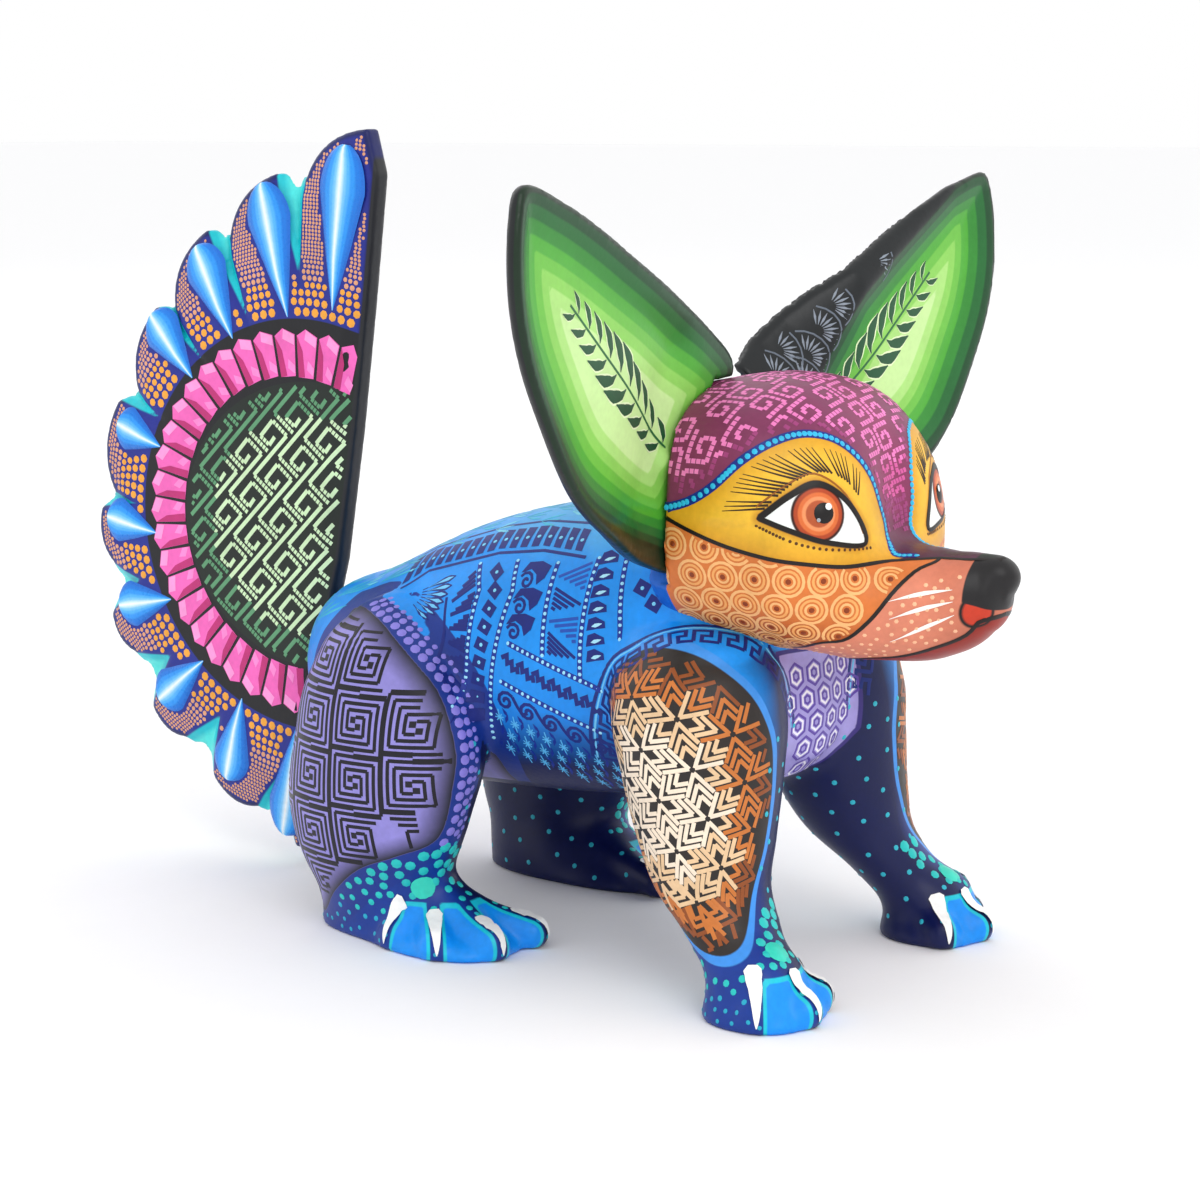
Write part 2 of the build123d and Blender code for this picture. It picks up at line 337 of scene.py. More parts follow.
EAR_ROOT = (25.25, -76, 128.5)      # middle of the left ear's root line
EAR_DOWN = (0.38323, 0, -0.92365)   # down the root line
EAR_OUT = (0.92014, -0.08716, 0.38176)
EAR_FRONT = (-0.0805, -0.9962, -0.0334)
EAR_SLOT_FRONT = 1.5                # the head is cut back behind this plane for the ear
EAR_SLOT_MIDDLE = 0.6
EAR_SLOT_HALF = 27.6
EAR_GAP = 0.3
PEG_SPOT = (0.0, -1.5)              # an ear's peg, buried in its root: down, front
BOSS_LENGTH = 14                    # the swelling of the root round the peg
BOSS_RADII = (3.0, 2.6)


def ear_place(p, side):
    """Down, out and forward distances from an ear's root."""
    q = p - np.array(EAR_ROOT) * (side, 1, 1)
    return np.stack([q @ (np.array(axis) * (side, 1, 1)) for axis in (EAR_DOWN, EAR_OUT, EAR_FRONT)], 1)


def from_ear(local, side):
    """The place at the given distances down, out and forward from an ear's root."""
    axes = np.array((EAR_DOWN, EAR_OUT, EAR_FRONT))
    return (np.asarray(local, float) @ axes + EAR_ROOT) * (side, 1, 1)


# ---------------------------------------------------------------- head

DOME = ((0, -90, 112), (38, 33, 41))
DOME_LOW = 28                           # radius below the centre
DOME_POWERS = (3.2, 2.2)                # level sections are squarer than upright ones
MASK = ((0, -82, 120), (40, 29, 31))    # the squarer back of the head
MASK_LOW = 29
BRIDGE_DIP = 2.5                        # hollow between the eyes
BRIDGE_WIDTH = 9
MUZZLE = (      # y, centre x z, half width and height
    (-152, 0, 102.5, 2, 2.5),
    (-151, 0, 102, 5, 5),
    (-147, 0, 101.3, 9, 9.3),
    (-136, 0, 98.7, 15.5, 13.2),
    (-122, 0, 98.3, 24, 14.8),
    (-106, 0, 103, 31, 18.5),
    (-100, 0, 106, 30, 18.5),
)
NOSE = ((0, -148, 106.5), (6, 6.5, 5.5))
HEAD_BACK = -70.5
FAR_WIDTH = 1.055           # the carving is this much fuller on the animal's left


def dome_field(p):
    """The round top of the head."""
    q = np.abs((p - DOME[0]) / DOME[1])
    level, upright = DOME_POWERS
    q[:, 2] *= np.where(p[:, 2] < DOME[0][2], DOME[1][2] / DOME_LOW, 1)
    around = (q[:, 0] ** level + q[:, 1] ** level) ** (upright / level)
    return ((around + q[:, 2] ** upright) ** (1 / upright) - 1) * min(DOME[1])


def head_field(p):
    """Dome, cheeks, muzzle and nose, cut flat behind and for the ears."""
    wide = p.copy()
    wide[:, 0] /= 1 + (FAR_WIDTH - 1) * fade(p[:, 1], -140, -122) * (p[:, 0] > 0)
    high = ellipsoid(wide, *MASK, power=3.3)
    low = ellipsoid(wide, MASK[0], (*MASK[1][:2], MASK_LOW), power=2.6)
    d = merge(dome_field(wide), np.where(p[:, 2] > MASK[0][2], high, low), 4)
    dip = BRIDGE_DIP * np.exp(-((p[:, 0] / BRIDGE_WIDTH) ** 2))
    dip = dip * fade(p[:, 1], -105, -118) * fade(p[:, 2], 145, 125)
    d = merge(d + dip, swept(p, 1, MUZZLE), 5)
    d = merge(d, ellipsoid(p, *NOSE), 2)
    d = cut(d, HEAD_BACK - p[:, 1], 1.0)
    for side in (-1, 1):
        down, out, front = ear_place(p, side).T
        slot = np.maximum(-out - EAR_GAP, front - EAR_SLOT_FRONT)
        d = cut(d, np.maximum(slot, np.abs(down - EAR_SLOT_MIDDLE) - EAR_SLOT_HALF), 0.4)
    return d


# ---------------------------------------------------------------- ears

EAR_EDGE = (    # outline of an ear, down the root line and out, from the low root round the tip
    (25.4, 0), (27, 20), (26.5, 42), (22, 61), (10, 80), (0, 92), (-12, 100.5), (-27, 105.5),
    (-36.5, 104), (-39, 87), (-39.5, 70), (-38.8, 50), (-38, 28), (-36.5, 8), (-33, -8), (-24, -9),
)


def smooth_outline(points, each=6):
    """Points of a smooth closed curve through the given points, straight from last to first."""
    p = np.array(points, float)
    slopes = np.gradient(p, axis=0)
    t = np.linspace(0, 1, each, endpoint=False)[:, None]
    runs = [cubic(t, a, b, m, n) for a, b, m, n in zip(p, p[1:], slopes, slopes[1:])]
    return np.concatenate(runs + [p[-1:]])


def outline_distance(u, v, outline):
    """Distance to a closed outline, less than nothing inside it."""
    far = np.full(len(u), 1e9)
    inside = np.zeros(len(u), bool)
    for a, b in zip(outline, np.roll(outline, -1, 0)):
        e = b - a
        wu, wv = u - a[0], v - a[1]
        t = np.clip((wu * e[0] + wv * e[1]) / max(e @ e, 1e-9), 0, 1)
        far = np.minimum(far, (wu - t * e[0]) ** 2 + (wv - t * e[1]) ** 2)
        if a[1] != b[1]:
            crosses = (a[1] <= v) != (b[1] <= v)
            inside ^= crosses & (wu < wv * e[0] / e[1])
    return np.where(inside, -1, 1) * np.sqrt(far)


class Relief:
    """A flat map of a slow function, kept on a fine grid so that it can be read off quickly."""

    def __init__(self, function, low, high, step=0.5):
        self.low, self.step = np.array(low, float), step
        self.u = np.arange(low[0], high[0] + 2 * step, step)
        self.v = np.arange(low[1], high[1] + 2 * step, step)
        u, v = np.meshgrid(self.u, self.v, indexing="ij")
        self.values = function(u.ravel(), v.ravel()).reshape(u.shape)

    def __call__(self, u, v):
        a = np.clip((u - self.low[0]) / self.step, 0, len(self.u) - 1.001)
        b = np.clip((v - self.low[1]) / self.step, 0, len(self.v) - 1.001)
        i, j = a.astype(int), b.astype(int)
        a, b = a - i, b - j
        grid = self.values
        near = grid[i, j] * (1 - b) + grid[i, j + 1] * b
        return near * (1 - a) + (grid[i + 1, j] * (1 - b) + grid[i + 1, j + 1] * b) * a


def at(relief, pair):
    """One value of a map."""
    return float(relief(np.array([pair[0]]), np.array([pair[1]]))[0])


EAR_HEEL = -26      # the part of the ear beyond this sits on top of the head
EAR_OUTLINE = smooth_outline(EAR_EDGE)
ear_edge = Relief(lambda u, v: outline_distance(u, v, EAR_OUTLINE), (-50, -12), (40, 116))
EAR_ROLL = (        # where the left ear's inner edge starts to roll back: out, down
    (-10, -8), (10, -11), (20, -15), (28, -20), (42, -28), (57, -31.5), (73, -34.5), (95, -39),
    (110, -46),
)
EAR_TRIM = (        # where the left ear's inner edge is cut off: out, down
    (-10, -22), (0, -25), (10, -28), (20, -30.5), (30, -33), (45, -35.2), (60, -37), (75, -38.4),
    (88, -38.6), (105, -36),
)


def roll_past(down, out):
    """How far a place is past the line where the left ear's inner edge rolls back."""
    line = np.interp(out, *np.array(EAR_ROLL, float).T)
    return line - down


def ear_rim(down, out, side):
    """The distance to an ear's outline; the left ear's inner edge is trimmed closer."""
    edge = ear_edge(down, out)
    if side > 0:
        edge = np.maximum(edge, (np.interp(out, *np.array(EAR_TRIM, float).T) - down) * 0.9)
    return edge


def ear_faces(down, out, side):
    """Front and back heights of the ear's dished leaf, and the distance to its outline."""
    edge = ear_rim(down, out, side)
    deep = np.maximum(-edge, 0)
    middle = (4 + 2 * down / 27) * fade(out, 8, 45)
    front = middle + 0.9 - 3.4 * fade(deep, 0.5, 12) * fade(out, 6, 24)
    inner = fade(-down, -2, 24) * (1 - fade(out, 60, 100))
    thick = 4 + 9 * (1 - fade(out, 0, 75)) + 6 * inner
    back = middle - 2 - thick * np.sqrt(np.clip(deep / (24 - 15 * inner), 0, 1))
    if side > 0:
        past = np.maximum(roll_past(down, out), 0)
        front = front - past * past / (past + 3) * 0.95 * fade(out, 100, 70)
        back = np.minimum(back, front - 1.5 - 2.5 * fade(past, 0, 4) * fade(out, 90, 60))
    return front, back, edge


def ear_field(p, side):
    """A dished leaf with a sawn root and a swelling where its peg goes in."""
    place = ear_place(p, side)
    down, out, height = place.T
    front, back, edge = ear_faces(down, out, side)
    d = cut(edge, np.minimum(front - height, height - back), 1.6)
    d = np.maximum(d, -np.maximum(out, EAR_HEEL - down))
    peg_down, peg_front = PEG_SPOT
    boss = capsule(place, (peg_down, 0, peg_front), (peg_down, BOSS_LENGTH, peg_front), *BOSS_RADII)
    return np.maximum(merge(d, boss, 2), EAR_GAP - head_field(p))


# ---------------------------------------------------------------- tail

FAN_HUB = (62, 101)     # y, z
FAN_EDGE = (            # the straight front edge, upwards
    (66.7, 63), (58.5, 92), (52, 130), (47, 166), (42.6, 201),
)
FAN_FOOT = (71.5, 6)
FAN_TIPS = (
    (46, 213.5), (80, 201), (107, 184.5), (128, 161.5), (144.5, 133),
    (153, 100), (150, 67.5), (134, 40.5), (109.5, 22), (77, 5),
)
FAN_VALLEYS = (
    (68.5, 200), (98, 183), (120.5, 162), (136.5, 136.5), (147.5, 105.5),
    (149, 83.5), (141, 56.5), (121, 32.5), (92.5, 15),
)
GROOVE_LENGTH = (30, 29, 24, 17, 14, 14, 16, 18, 20)
FAN_HALF = 4.0
GROOVE_DEPTH = 3.2
GROOVE_START = 8        # the grooves' wedges start this far in from the outline


def fan_front(v):
    """The y of the tail's front edge at a height."""
    edge = (FAN_FOOT, *FAN_EDGE)
    return np.interp(v, [p[1] for p in edge], [p[0] for p in edge])


def fan_outline():
    """The fan's outline: a straight edge, then petals that are pointed on their upper side."""
    hub = np.array(FAN_HUB)
    points = [np.array(FAN_FOOT)] + [np.array(p) for p in FAN_EDGE]
    for i, tip in enumerate(FAN_TIPS):
        tip = np.array(tip)
        end = np.array(FAN_VALLEYS[i]) if i < len(FAN_VALLEYS) else np.array(FAN_FOOT)
        chord = end - tip
        out = (tip + end) / 2 - hub
        out -= chord * (out @ chord) / (chord @ chord)
        bulge = 0.3 if i < len(FAN_VALLEYS) else 0.08
        swell = out / np.linalg.norm(out) * np.linalg.norm(chord) * bulge
        control = tip + chord * 0.55 + swell
        for t in np.linspace(0, 1, 9):
            points.append((1 - t) ** 2 * tip + 2 * t * (1 - t) * control + t * t * end)
    return np.array(points)


FAN_OUTLINE = fan_outline()


def groove_distance(y, z):
    """Distance to the nearest groove's wedge, less than nothing inside it."""
    hub, d = np.array(FAN_HUB), np.full(len(y), 1e9)
    for tip, valley, length in zip(FAN_TIPS[1:], FAN_VALLEYS, GROOVE_LENGTH):
        tip, valley = np.array(tip), np.array(valley)
        mouth = (tip + valley) / 2
        inward = (hub - mouth) / np.linalg.norm(hub - mouth)
        back = inward * GROOVE_START
        wedge = np.array((tip - back, valley - back, valley, mouth + inward * length, tip))
        d = np.minimum(d, outline_distance(y, z, wedge))
    return d


FAN_BOX = ((34, -4), (164, 222))
fan_edge = Relief(lambda u, v: outline_distance(u, v, FAN_OUTLINE), *FAN_BOX)
fan_groove = Relief(groove_distance, *FAN_BOX)


def tail_field(p):
    """The flat fan, with a groove between each two petals."""
    y, z = p[:, 1], p[:, 2]
    edge, groove = fan_edge(y, z), fan_groove(y, z)
    half = FAN_HALF - GROOVE_DEPTH * fade(-groove, -1.2, 4.5) - 1.2 * fade(edge, -7, 0)
    return cut(edge, half - np.abs(p[:, 0]), 1.2)


# ---------------------------------------------------------------- skins

body = skin("body_skin", body_field, (-64, -134, -2), (64, 70, 124), 1.2, "body")
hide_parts("torso", "right_foreleg", "left_foreleg", "right_hindleg", "left_hindleg")
head = skin("head_skin", head_field, (-42, -158, 78), (42, -66, 158), 1.0, "body")
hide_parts("head")
tail = skin("tail_skin", tail_field, (-6, 38, -1), (6, 160, 218), 1.0, "tail_body")
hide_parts("tail_fan")
SIDES = (("right", -1), ("left", 1))
ears = {}
for name, side in SIDES:
    low = (2, -98, 90) if side > 0 else (-134, -98, 90)
    high = (134, -48, 206) if side > 0 else (-2, -48, 206)
    ears[side] = skin(f"{name}_ear_skin", lambda p: ear_field(p, side), low, high, 1.3, f"{name}_ear_body")
    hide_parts(f"{name}_ear")

# ---------------------------------------------------------------- paint


def colour(code):
    """A linear colour from a hex code."""
    parts = [int(code[i : i + 2], 16) / 255 for i in (0, 2, 4)]
    return (*[c / 12.92 if c <= 0.04045 else ((c + 0.055) / 1.055) ** 2.4 for c in parts], 1)


class Coat:
    """A material of thin paint layers with brush marks and a satin varnish."""

    def __init__(self, name, base, roughness=0.4, varnish=0.1):
        self.material = bpy.data.materials.new(name)
        self.material.use_nodes = True
        self.nodes = self.material.node_tree.nodes
        self.links = self.material.node_tree.links
        self.shader = self.nodes["Principled BSDF"]
        self.shader.inputs["Coat Weight"].default_value = varnish
        self.shader.inputs["Specular IOR Level"].default_value = 0.28
        self.shader.inputs["Coat Roughness"].default_value = 0.3
        self.roughness = roughness
        self.top = colour(base)

    def join(self, value, socket):
        if isinstance(value, bpy.types.NodeSocket):
            self.links.new(value, socket)
        else:
            socket.default_value = value

    def calc(self, operation, a, b=0.0, clamp=False):
        node = self.nodes.new("ShaderNodeMath")
        node.operation = operation
        node.use_clamp = clamp
        self.join(a, node.inputs[0])
        self.join(b, node.inputs[1])
        return node.outputs[0]

    def both(self, a, b):
        """The overlap of two factors."""
        return self.calc("MULTIPLY", a, b)

    def read(self, name):
        """A number stored on the mesh."""
        node = self.nodes.new("ShaderNodeAttribute")
        node.attribute_name = name
        return node.outputs["Fac"]

    def noise(self, size, detail=2.0, squeeze=None):
        """Cloudy values around a half, with features of a size in millimetres."""
        place = self.nodes.new("ShaderNodeTexCoord").outputs["Object"]
        if squeeze:
            scale = self.nodes.new("ShaderNodeVectorMath")
            scale.operation = "MULTIPLY"
            self.links.new(place, scale.inputs[0])
            scale.inputs[1].default_value = squeeze
            place = scale.outputs[0]
        node = self.nodes.new("ShaderNodeTexNoise")
        node.inputs["Scale"].default_value = 1000 / size
        node.inputs["Detail"].default_value = detail
        self.links.new(place, node.inputs["Vector"])
        return node.outputs["Fac"]

    def below(self, value, limit=0.0, soft=0.25):
        """One where a value is under the limit, with a soft edge."""
        gap = self.calc("SUBTRACT", limit, value)
        return self.calc("ADD", self.calc("DIVIDE", gap, soft), 0.5, clamp=True)

    def over(self, factor, paint):
        """Lay a colour over what is there."""
        node = self.nodes.new("ShaderNodeMix")
        node.data_type = "RGBA"
        self.join(factor, node.inputs[0])
        self.join(self.top, node.inputs[6])
        self.join(colour(paint), node.inputs[7])
        self.top = node.outputs[2]

    def done(self, uneven=0.16, relief=0.12):
        """Add uneven brushwork to colour and gloss, and a little relief."""
        cloud, fine = self.noise(14), self.noise(1.6, 3.0)
        marks = self.calc("ADD", self.both(cloud, 0.6), self.both(fine, 0.4))
        shade = self.calc("ADD", self.both(self.calc("SUBTRACT", marks, 0.5), uneven * 4), 1.0)
        tone = self.nodes.new("ShaderNodeVectorMath")
        tone.operation = "SCALE"
        self.join(self.top[:3] if isinstance(self.top, tuple) else self.top, tone.inputs[0])
        self.join(shade, tone.inputs["Scale"])
        self.links.new(tone.outputs[0], self.shader.inputs["Base Color"])
        gloss = self.calc("ADD", self.both(fine, 0.16), self.roughness - 0.08)
        self.links.new(gloss, self.shader.inputs["Roughness"])
        bump = self.nodes.new("ShaderNodeBump")
        bump.inputs["Strength"].default_value = relief
        bump.inputs["Distance"].default_value = 0.0004
        self.links.new(fine, bump.inputs["Height"])
        self.links.new(bump.outputs[0], self.shader.inputs["Normal"])
        return self.material


PAINTS = {}


def paint(code):
    """One brushed paint for each colour code."""
    if code not in PAINTS:
        PAINTS[code] = Coat(f"paint_{code}", code).done()
    return PAINTS[code]


class Surface:
    """Finds places on a skin."""

    def __init__(self, piece):
        polygons = [tuple(face.vertices) for face in piece.data.polygons]
        self.tree = BVHTree.FromPolygons(points_of(piece).tolist(), polygons)

    def cast(self, start, way):
        place, normal, _, _ = self.tree.ray_cast(Vector(start), Vector(way))
        return None if place is None else (np.array(place), np.array(normal))

    def near(self, place):
        place, normal, _, _ = self.tree.find_nearest(Vector(place))
        return np.array(place), np.array(normal)


def along(path, step, closed=False):
    """Points of a path at short steps, corners kept."""
    path = [np.array(p, float) for p in path]
    if closed:
        path.append(path[0])
    points = [path[0]]
    for a, b in zip(path, path[1:]):
        pieces = max(1, math.ceil(np.linalg.norm(b - a) / step))
        points += [a + (b - a) * i / pieces for i in range(1, pieces + 1)]
    return points[:-1] if closed else points


LIFT = 0.07         # how far the paint of a stroke stands off the skin
RING_SIDES = 18
BIG_DOT = 1.2       # dots with more radius than this follow the skin all round


def ring_about(place, normal, radius, sides):
    """Points of a circle that lies on a skin."""
    b = UP - normal * normal[2]
    if np.linalg.norm(b) < 0.1:
        b = np.array((1.0, 0, 0)) - normal * normal[0]
    b /= np.linalg.norm(b)
    a = np.cross(b, normal)
    turns = np.arange(sides) * 2 * math.pi / sides
    return place + radius * (np.outer(np.cos(turns), a) + np.outer(np.sin(turns), b))


def unit_rows(rows):
    """Rows of a table, each brought to length one."""
    return rows / np.maximum(np.linalg.norm(rows, axis=1), 1e-6)[:, None]


class Strokes:
    """Brush strokes laid on a skin and gathered into one thin raised mesh."""

    def __init__(self, name, surface, body, slot):
        self.name, self.surface, self.body, self.slot = name, surface, body, slot
        self.points, self.faces, self.tints, self.codes = [], [], [], []

    def add(self, points, faces, code):
        if code not in self.codes:
            self.codes.append(code)
        start = len(self.points)
        self.points += [tuple(p) for p in points]
        self.faces += [tuple(start + i for i in face) for face in faces]
        self.tints += [self.codes.index(code)] * len(faces)

    def line(self, chart, path, width, code, closed=False, step=1.3, extra=0.0):
        """A stroke of one width, or of a width that is a function of the way along it."""
        found = [chart(*p) for p in along(path, step, closed)]
        self.band(found, width, code, closed, extra)

    def band(self, found, width, code, closed=False, extra=0.0, keep=None):
        """A stroke through places found on a skin, raised along its middle."""
        if len(found) < 2 or any(spot is None for spot in found):
            return
        places, normals = (np.array(part) for part in zip(*found))
        if closed:
            ahead, behind = np.roll(places, -1, 0) - places, places - np.roll(places, 1, 0)
        else:
            ahead = np.diff(places, axis=0, append=2 * places[-1:] - places[-2:-1])
            behind = np.concatenate([ahead[:1], ahead[:-1]])
        ahead, behind = unit_rows(ahead), unit_rows(behind)
        middle = unit_rows(ahead + behind)
        mitre = 1 / np.clip((middle * ahead).sum(1), 0.5, 1)
        across = unit_rows(np.cross(normals, middle))
        t = np.linspace(0, 1, len(places))
        half = np.array([width(x) for x in t]) if callable(width) else np.full(len(t), width)
        half = (half / 2 * mitre)[:, None]
        low = normals * (LIFT + extra - 0.03)
        high = normals * (LIFT + extra + 0.03)
        rows = (places + across * half + low, places + high, places - across * half + low)
        n = len(places)
        faces = []
        for i in range(n if closed else n - 1):
            j = (i + 1) % n
            if keep is None or keep((places[i] + places[j]) / 2):
                faces += [(i + n, j + n, j, i), (i + 2 * n, j + 2 * n, j + n, i + n)]
        self.add(np.concatenate(rows), faces, code)

    def dot(self, spot, radius, code, sides=8, extra=0.0):
        """A small dome of paint."""
        if spot is None:
            return
        place, normal = spot
        ring = ring_about(place, normal, radius, sides)
        lift = LIFT + extra
        if radius > BIG_DOT:
            ring = np.array([p + n * (lift - 0.04) for p, n in map(self.surface.near, ring)])
        else:
            ring = ring + normal * (lift - 0.04)
        top = place + normal * (lift + 0.05 + 0.14 * radius)
        shoulder = (ring - place) * 0.62 + place + normal * (0.04 + 0.1 * radius)
        rings = [(i, (i + 1) % sides, sides + (i + 1) % sides, sides + i) for i in range(sides)]
        cap = [(sides + i, sides + (i + 1) % sides, 2 * sides) for i in range(sides)]
        self.add(np.concatenate([ring, shoulder, top[None]]), rings + cap, code)

    def ring(self, spot, radius, width, code, keep):
        """A round stroke about a place, where it is to be kept."""
        circle = ring_about(*spot, radius, RING_SIDES)
        self.band([self.surface.near(p) for p in circle], width, code, True, keep=keep)

    def patch(self, chart, outline, code, step, extra=0.0):
        """A filled shape that follows the skin."""
        edge = np.array(along(outline, step, True))
        low, high = edge.min(0), edge.max(0)
        axes = [np.arange(a + step / 2, b, step) for a, b in zip(low, high)]
        grid = np.stack(np.meshgrid(*axes), -1).reshape(-1, 2)
        if len(grid):
            grid = grid[outline_distance(grid[:, 0], grid[:, 1], edge) < -0.4 * step]
        n = len(edge)
        sides = [(i, (i + 1) % n) for i in range(n)]
        flat = [Vector(p) for p in np.concatenate([edge, grid])]
        verts, _, faces, _, _, _ = delaunay_2d_cdt(flat, sides, [], 1, 1e-4)
        found = [chart(*v) for v in verts]
        if any(spot is None for spot in found):
            return
        points = np.array([p + normal * (LIFT + extra) for p, normal in found])
        turned_faces = []
        for face in faces:
            a, b, c = (points[i] for i in face[:3])
            up = np.cross(b - a, c - a) @ found[face[0]][1] > 0
            turned_faces.append(tuple(face) if up else tuple(face)[::-1])
        self.add(points, turned_faces, code)

    def chain(self, chart, path, spacing, radius, code, extra=0.0):
        """A row of dots along a path."""
        for spot in along(path, spacing):
            self.dot(chart(*spot), radius, code, extra=extra)

    def dashes(self, chart, a, b, width, dash, fill, tint_at, codes):
        """A line of dashes; tint_at gives each one's place in the codes, or none to leave it out."""
        parts = max(1, round(np.linalg.norm(b - a) / dash))
        for k in range(parts):
            start, end = a + (b - a) * k / parts, a + (b - a) * (k + fill) / parts
            tint = tint_at(*((start + end) / 2))
            if tint is not None:
                self.band([chart(*start), chart(*end)], width, codes[tint])

    def done(self):
        piece = make_piece(self.name, np.array(self.points), self.faces, self.body)
        for code in self.codes:
            piece.data.materials.append(paint(code))
        piece.data.polygons.foreach_set("material_index", self.tints)


# ---------------------------------------------------------------- charts: flat maps laid on the skins

HEAD_HEART = np.array((0.0, -92.0, 112.0))     # the head's chart is in degrees about this place
DEGREE = 0.67                                   # length of a degree there, roughly
LEG_WRAP = 19                                   # length of a radian about a foreleg

on_body, on_head, on_tail = Surface(body), Surface(head), Surface(tail)
on_ear = {side: Surface(ears[side]) for side in (-1, 1)}


def flank(side):
    """The body seen from a side: y, z."""
    return lambda y, z: on_body.cast((side * 90, y, z), (-side, 0, 0))


def chest(x, z):
    """The body seen from the front: x, z."""
    return on_body.cast((x, -170, z), (0, 1, 0))


def foreleg(side):
    """Round a foreleg: distance from its outer line (backwards is more), z."""
    def chart(u, z):
        cx, cy = table_at(np.array([float(z)]), FORELEG)[0, :2]
        turn = u / LEG_WRAP
        return on_body.cast((side * cx, cy, z), (side * math.cos(turn), math.sin(turn), 0))
    return chart


FAR_SHIFT = 11              # the left half of the face is painted this much further forward, degrees
FAR_SHIFT_FULL = (9, 31)    # degrees round: none of it yet, and all of it
FAR_SHIFT_GONE = (78, 118)  # the last of all of it, and none again


def far_shift(lon):
    """How far forward the paint of the left half of the face sits, at an angle on the carving."""
    comes = np.clip((lon - FAR_SHIFT_FULL[0]) / (FAR_SHIFT_FULL[1] - FAR_SHIFT_FULL[0]), 0, 1)
    goes = np.clip((FAR_SHIFT_GONE[1] - lon) / (FAR_SHIFT_GONE[1] - FAR_SHIFT_GONE[0]), 0, 1)
    return FAR_SHIFT * comes * goes


def face(side):
    """The head in degrees: round from the front, up."""
    def chart(lon, lat):
        carved = lon
        if side > 0:
            for _ in range(4):
                carved = lon - far_shift(carved)
        a, b = math.radians(carved), math.radians(lat)
        way = (side * math.sin(a) * math.cos(b), -math.cos(a) * math.cos(b), math.sin(b))
        return on_head.cast(HEAD_HEART, way)
    return chart


def ear_face(side, height):
    """An ear seen from a height in front of it, or behind it if that is below nothing: down, out."""
    way = np.array(EAR_FRONT) * (side, 1, 1) * (-1 if height > 0 else 1)
    return lambda down, out: on_ear[side].cast(from_ear((down, out, height), side), way)


def ear_front(side):
    return ear_face(side, 30)


def ear_back(side):
    return ear_face(side, -40)


def fan(side):
    """A side of the tail: y, z."""
    return lambda y, z: on_tail.cast((side * 20, y, z), (-side, 0, 0))


# ---------------------------------------------------------------- body zones

HAUNCH = (      # outline of the patterned panel on a hind leg: y, z
    (34, 84), (18, 88), (2, 82), (-12, 70), (-18, 57), (-18, 46), (-13, 31),
    (-4, 26), (8, 21), (20, 12), (30, 4), (38, 20), (41, 50), (38, 75),
)
HAUNCH_BAND = 8.5
PANEL_HEIGHT = 52       # middle of a foreleg's panel, on the leg's chart
PANEL_TALL = 36         # its half height
PANEL_FRONT = 30        # its half widths, before and behind the leg's outer line
PANEL_BACK = 26
PANEL_POWER = 2.3       # 2 would be an ellipse, more is squarer
BIB = ((-17.5, 84), (17.5, 84), (17.5, 60), (10, 50), (0, 46), (-10, 50), (-17.5, 60))
NOWHERE = 50            # stored as the distance to a zone where the zone doesn't count


def panel_reach(u, v, half):
    """How far out a place is on a foreleg's panel: 0 in the middle, 1 on the edge."""
    total = np.abs(u / half) ** PANEL_POWER + np.abs((v - PANEL_HEIGHT) / PANEL_TALL) ** PANEL_POWER
    return total ** (1 / PANEL_POWER)


points, normals = points_of(body), normals_of(body)
x, y, z = points.T
out_x = np.abs(x)
mirrored = points.copy()
mirrored[:, 0] = out_x
fore_field = np.minimum(swept(mirrored, 2, FORELEG), foot_field(mirrored, *FORE_FOOT))
hind_field = np.minimum(swept(mirrored, 2, HINDLEG), foot_field(mirrored, *HIND_FOOT))
outward = normals[:, 0] * np.sign(x)

leg_axis = table_at(z, FORELEG)[:, :2]
wrap = np.arctan2(y - leg_axis[:, 1], out_x - leg_axis[:, 0]) * LEG_WRAP
panel = (panel_reach(wrap, z, np.where(wrap > 0, PANEL_BACK, PANEL_FRONT)) - 1) * PANEL_FRONT
panel = np.where((out_x > 14) & (y < -50) & (fore_field < 9), panel, NOWHERE)
haunch = outline_distance(y, z, smooth_outline(HAUNCH, 4))
haunch = np.where(haunch > 0, haunch / np.clip(outward, 0.3, 1), haunch)
haunch = np.where((outward > -0.2) & (out_x > 18), haunch, NOWHERE)
bib = outline_distance(x, z, np.array(BIB, float))
bib = np.where((normals[:, 1] < -0.15) & (y < -80), bib, NOWHERE)
leg = np.minimum(fore_field, hind_field) - trunk_field(points)
give(body, "panel", panel)
give(body, "haunch", haunch)
give(body, "bib", bib)
give(body, "height", z)
# how far each point faces up or down, for the painted shade under the belly
give(body, "underside_shade", normals[:, 2])
give(body, "leg", leg)
give(body, "inner", np.where(leg < 4, outward, 1) + fade(z, 84, 92))


def web_zone(tips, root):
    """Distance to the blue of a foot, between and beyond its toes."""
    spread = [np.array(tip) + (np.array(tip) - root[:2]) * 0.25 for tip in tips]
    edge = np.array([root[:2], *spread], float)
    distance = outline_distance(out_x, y, edge)
    return np.maximum(distance, 11 - np.hypot(out_x - root[0], y - root[1]))


def toe_lines(tips, root):
    """Distance from the nearest toe's middle line, seen from above."""
    best = np.full(len(x), 1e9)
    for tip in tips:
        end = np.array(tip) + (np.array(tip) - root[:2]) * 0.3
        way = end - root[:2]
        t = np.clip(((out_x - root[0]) * way[0] + (y - root[1]) * way[1]) / (way @ way), 0, 1)
        best = np.minimum(best, np.hypot(out_x - root[0] - t * way[0], y - root[1] - t * way[1]))
    return best


webs = np.minimum(*[web_zone(*toe_set) for toe_set in TOE_SETS])
toes = np.minimum(*[toe_lines(*toe_set) for toe_set in TOE_SETS])
webs = np.maximum(webs, (z - 11.5) * 0.8)
give(body, "web", np.maximum(webs, 2.6 - toes))


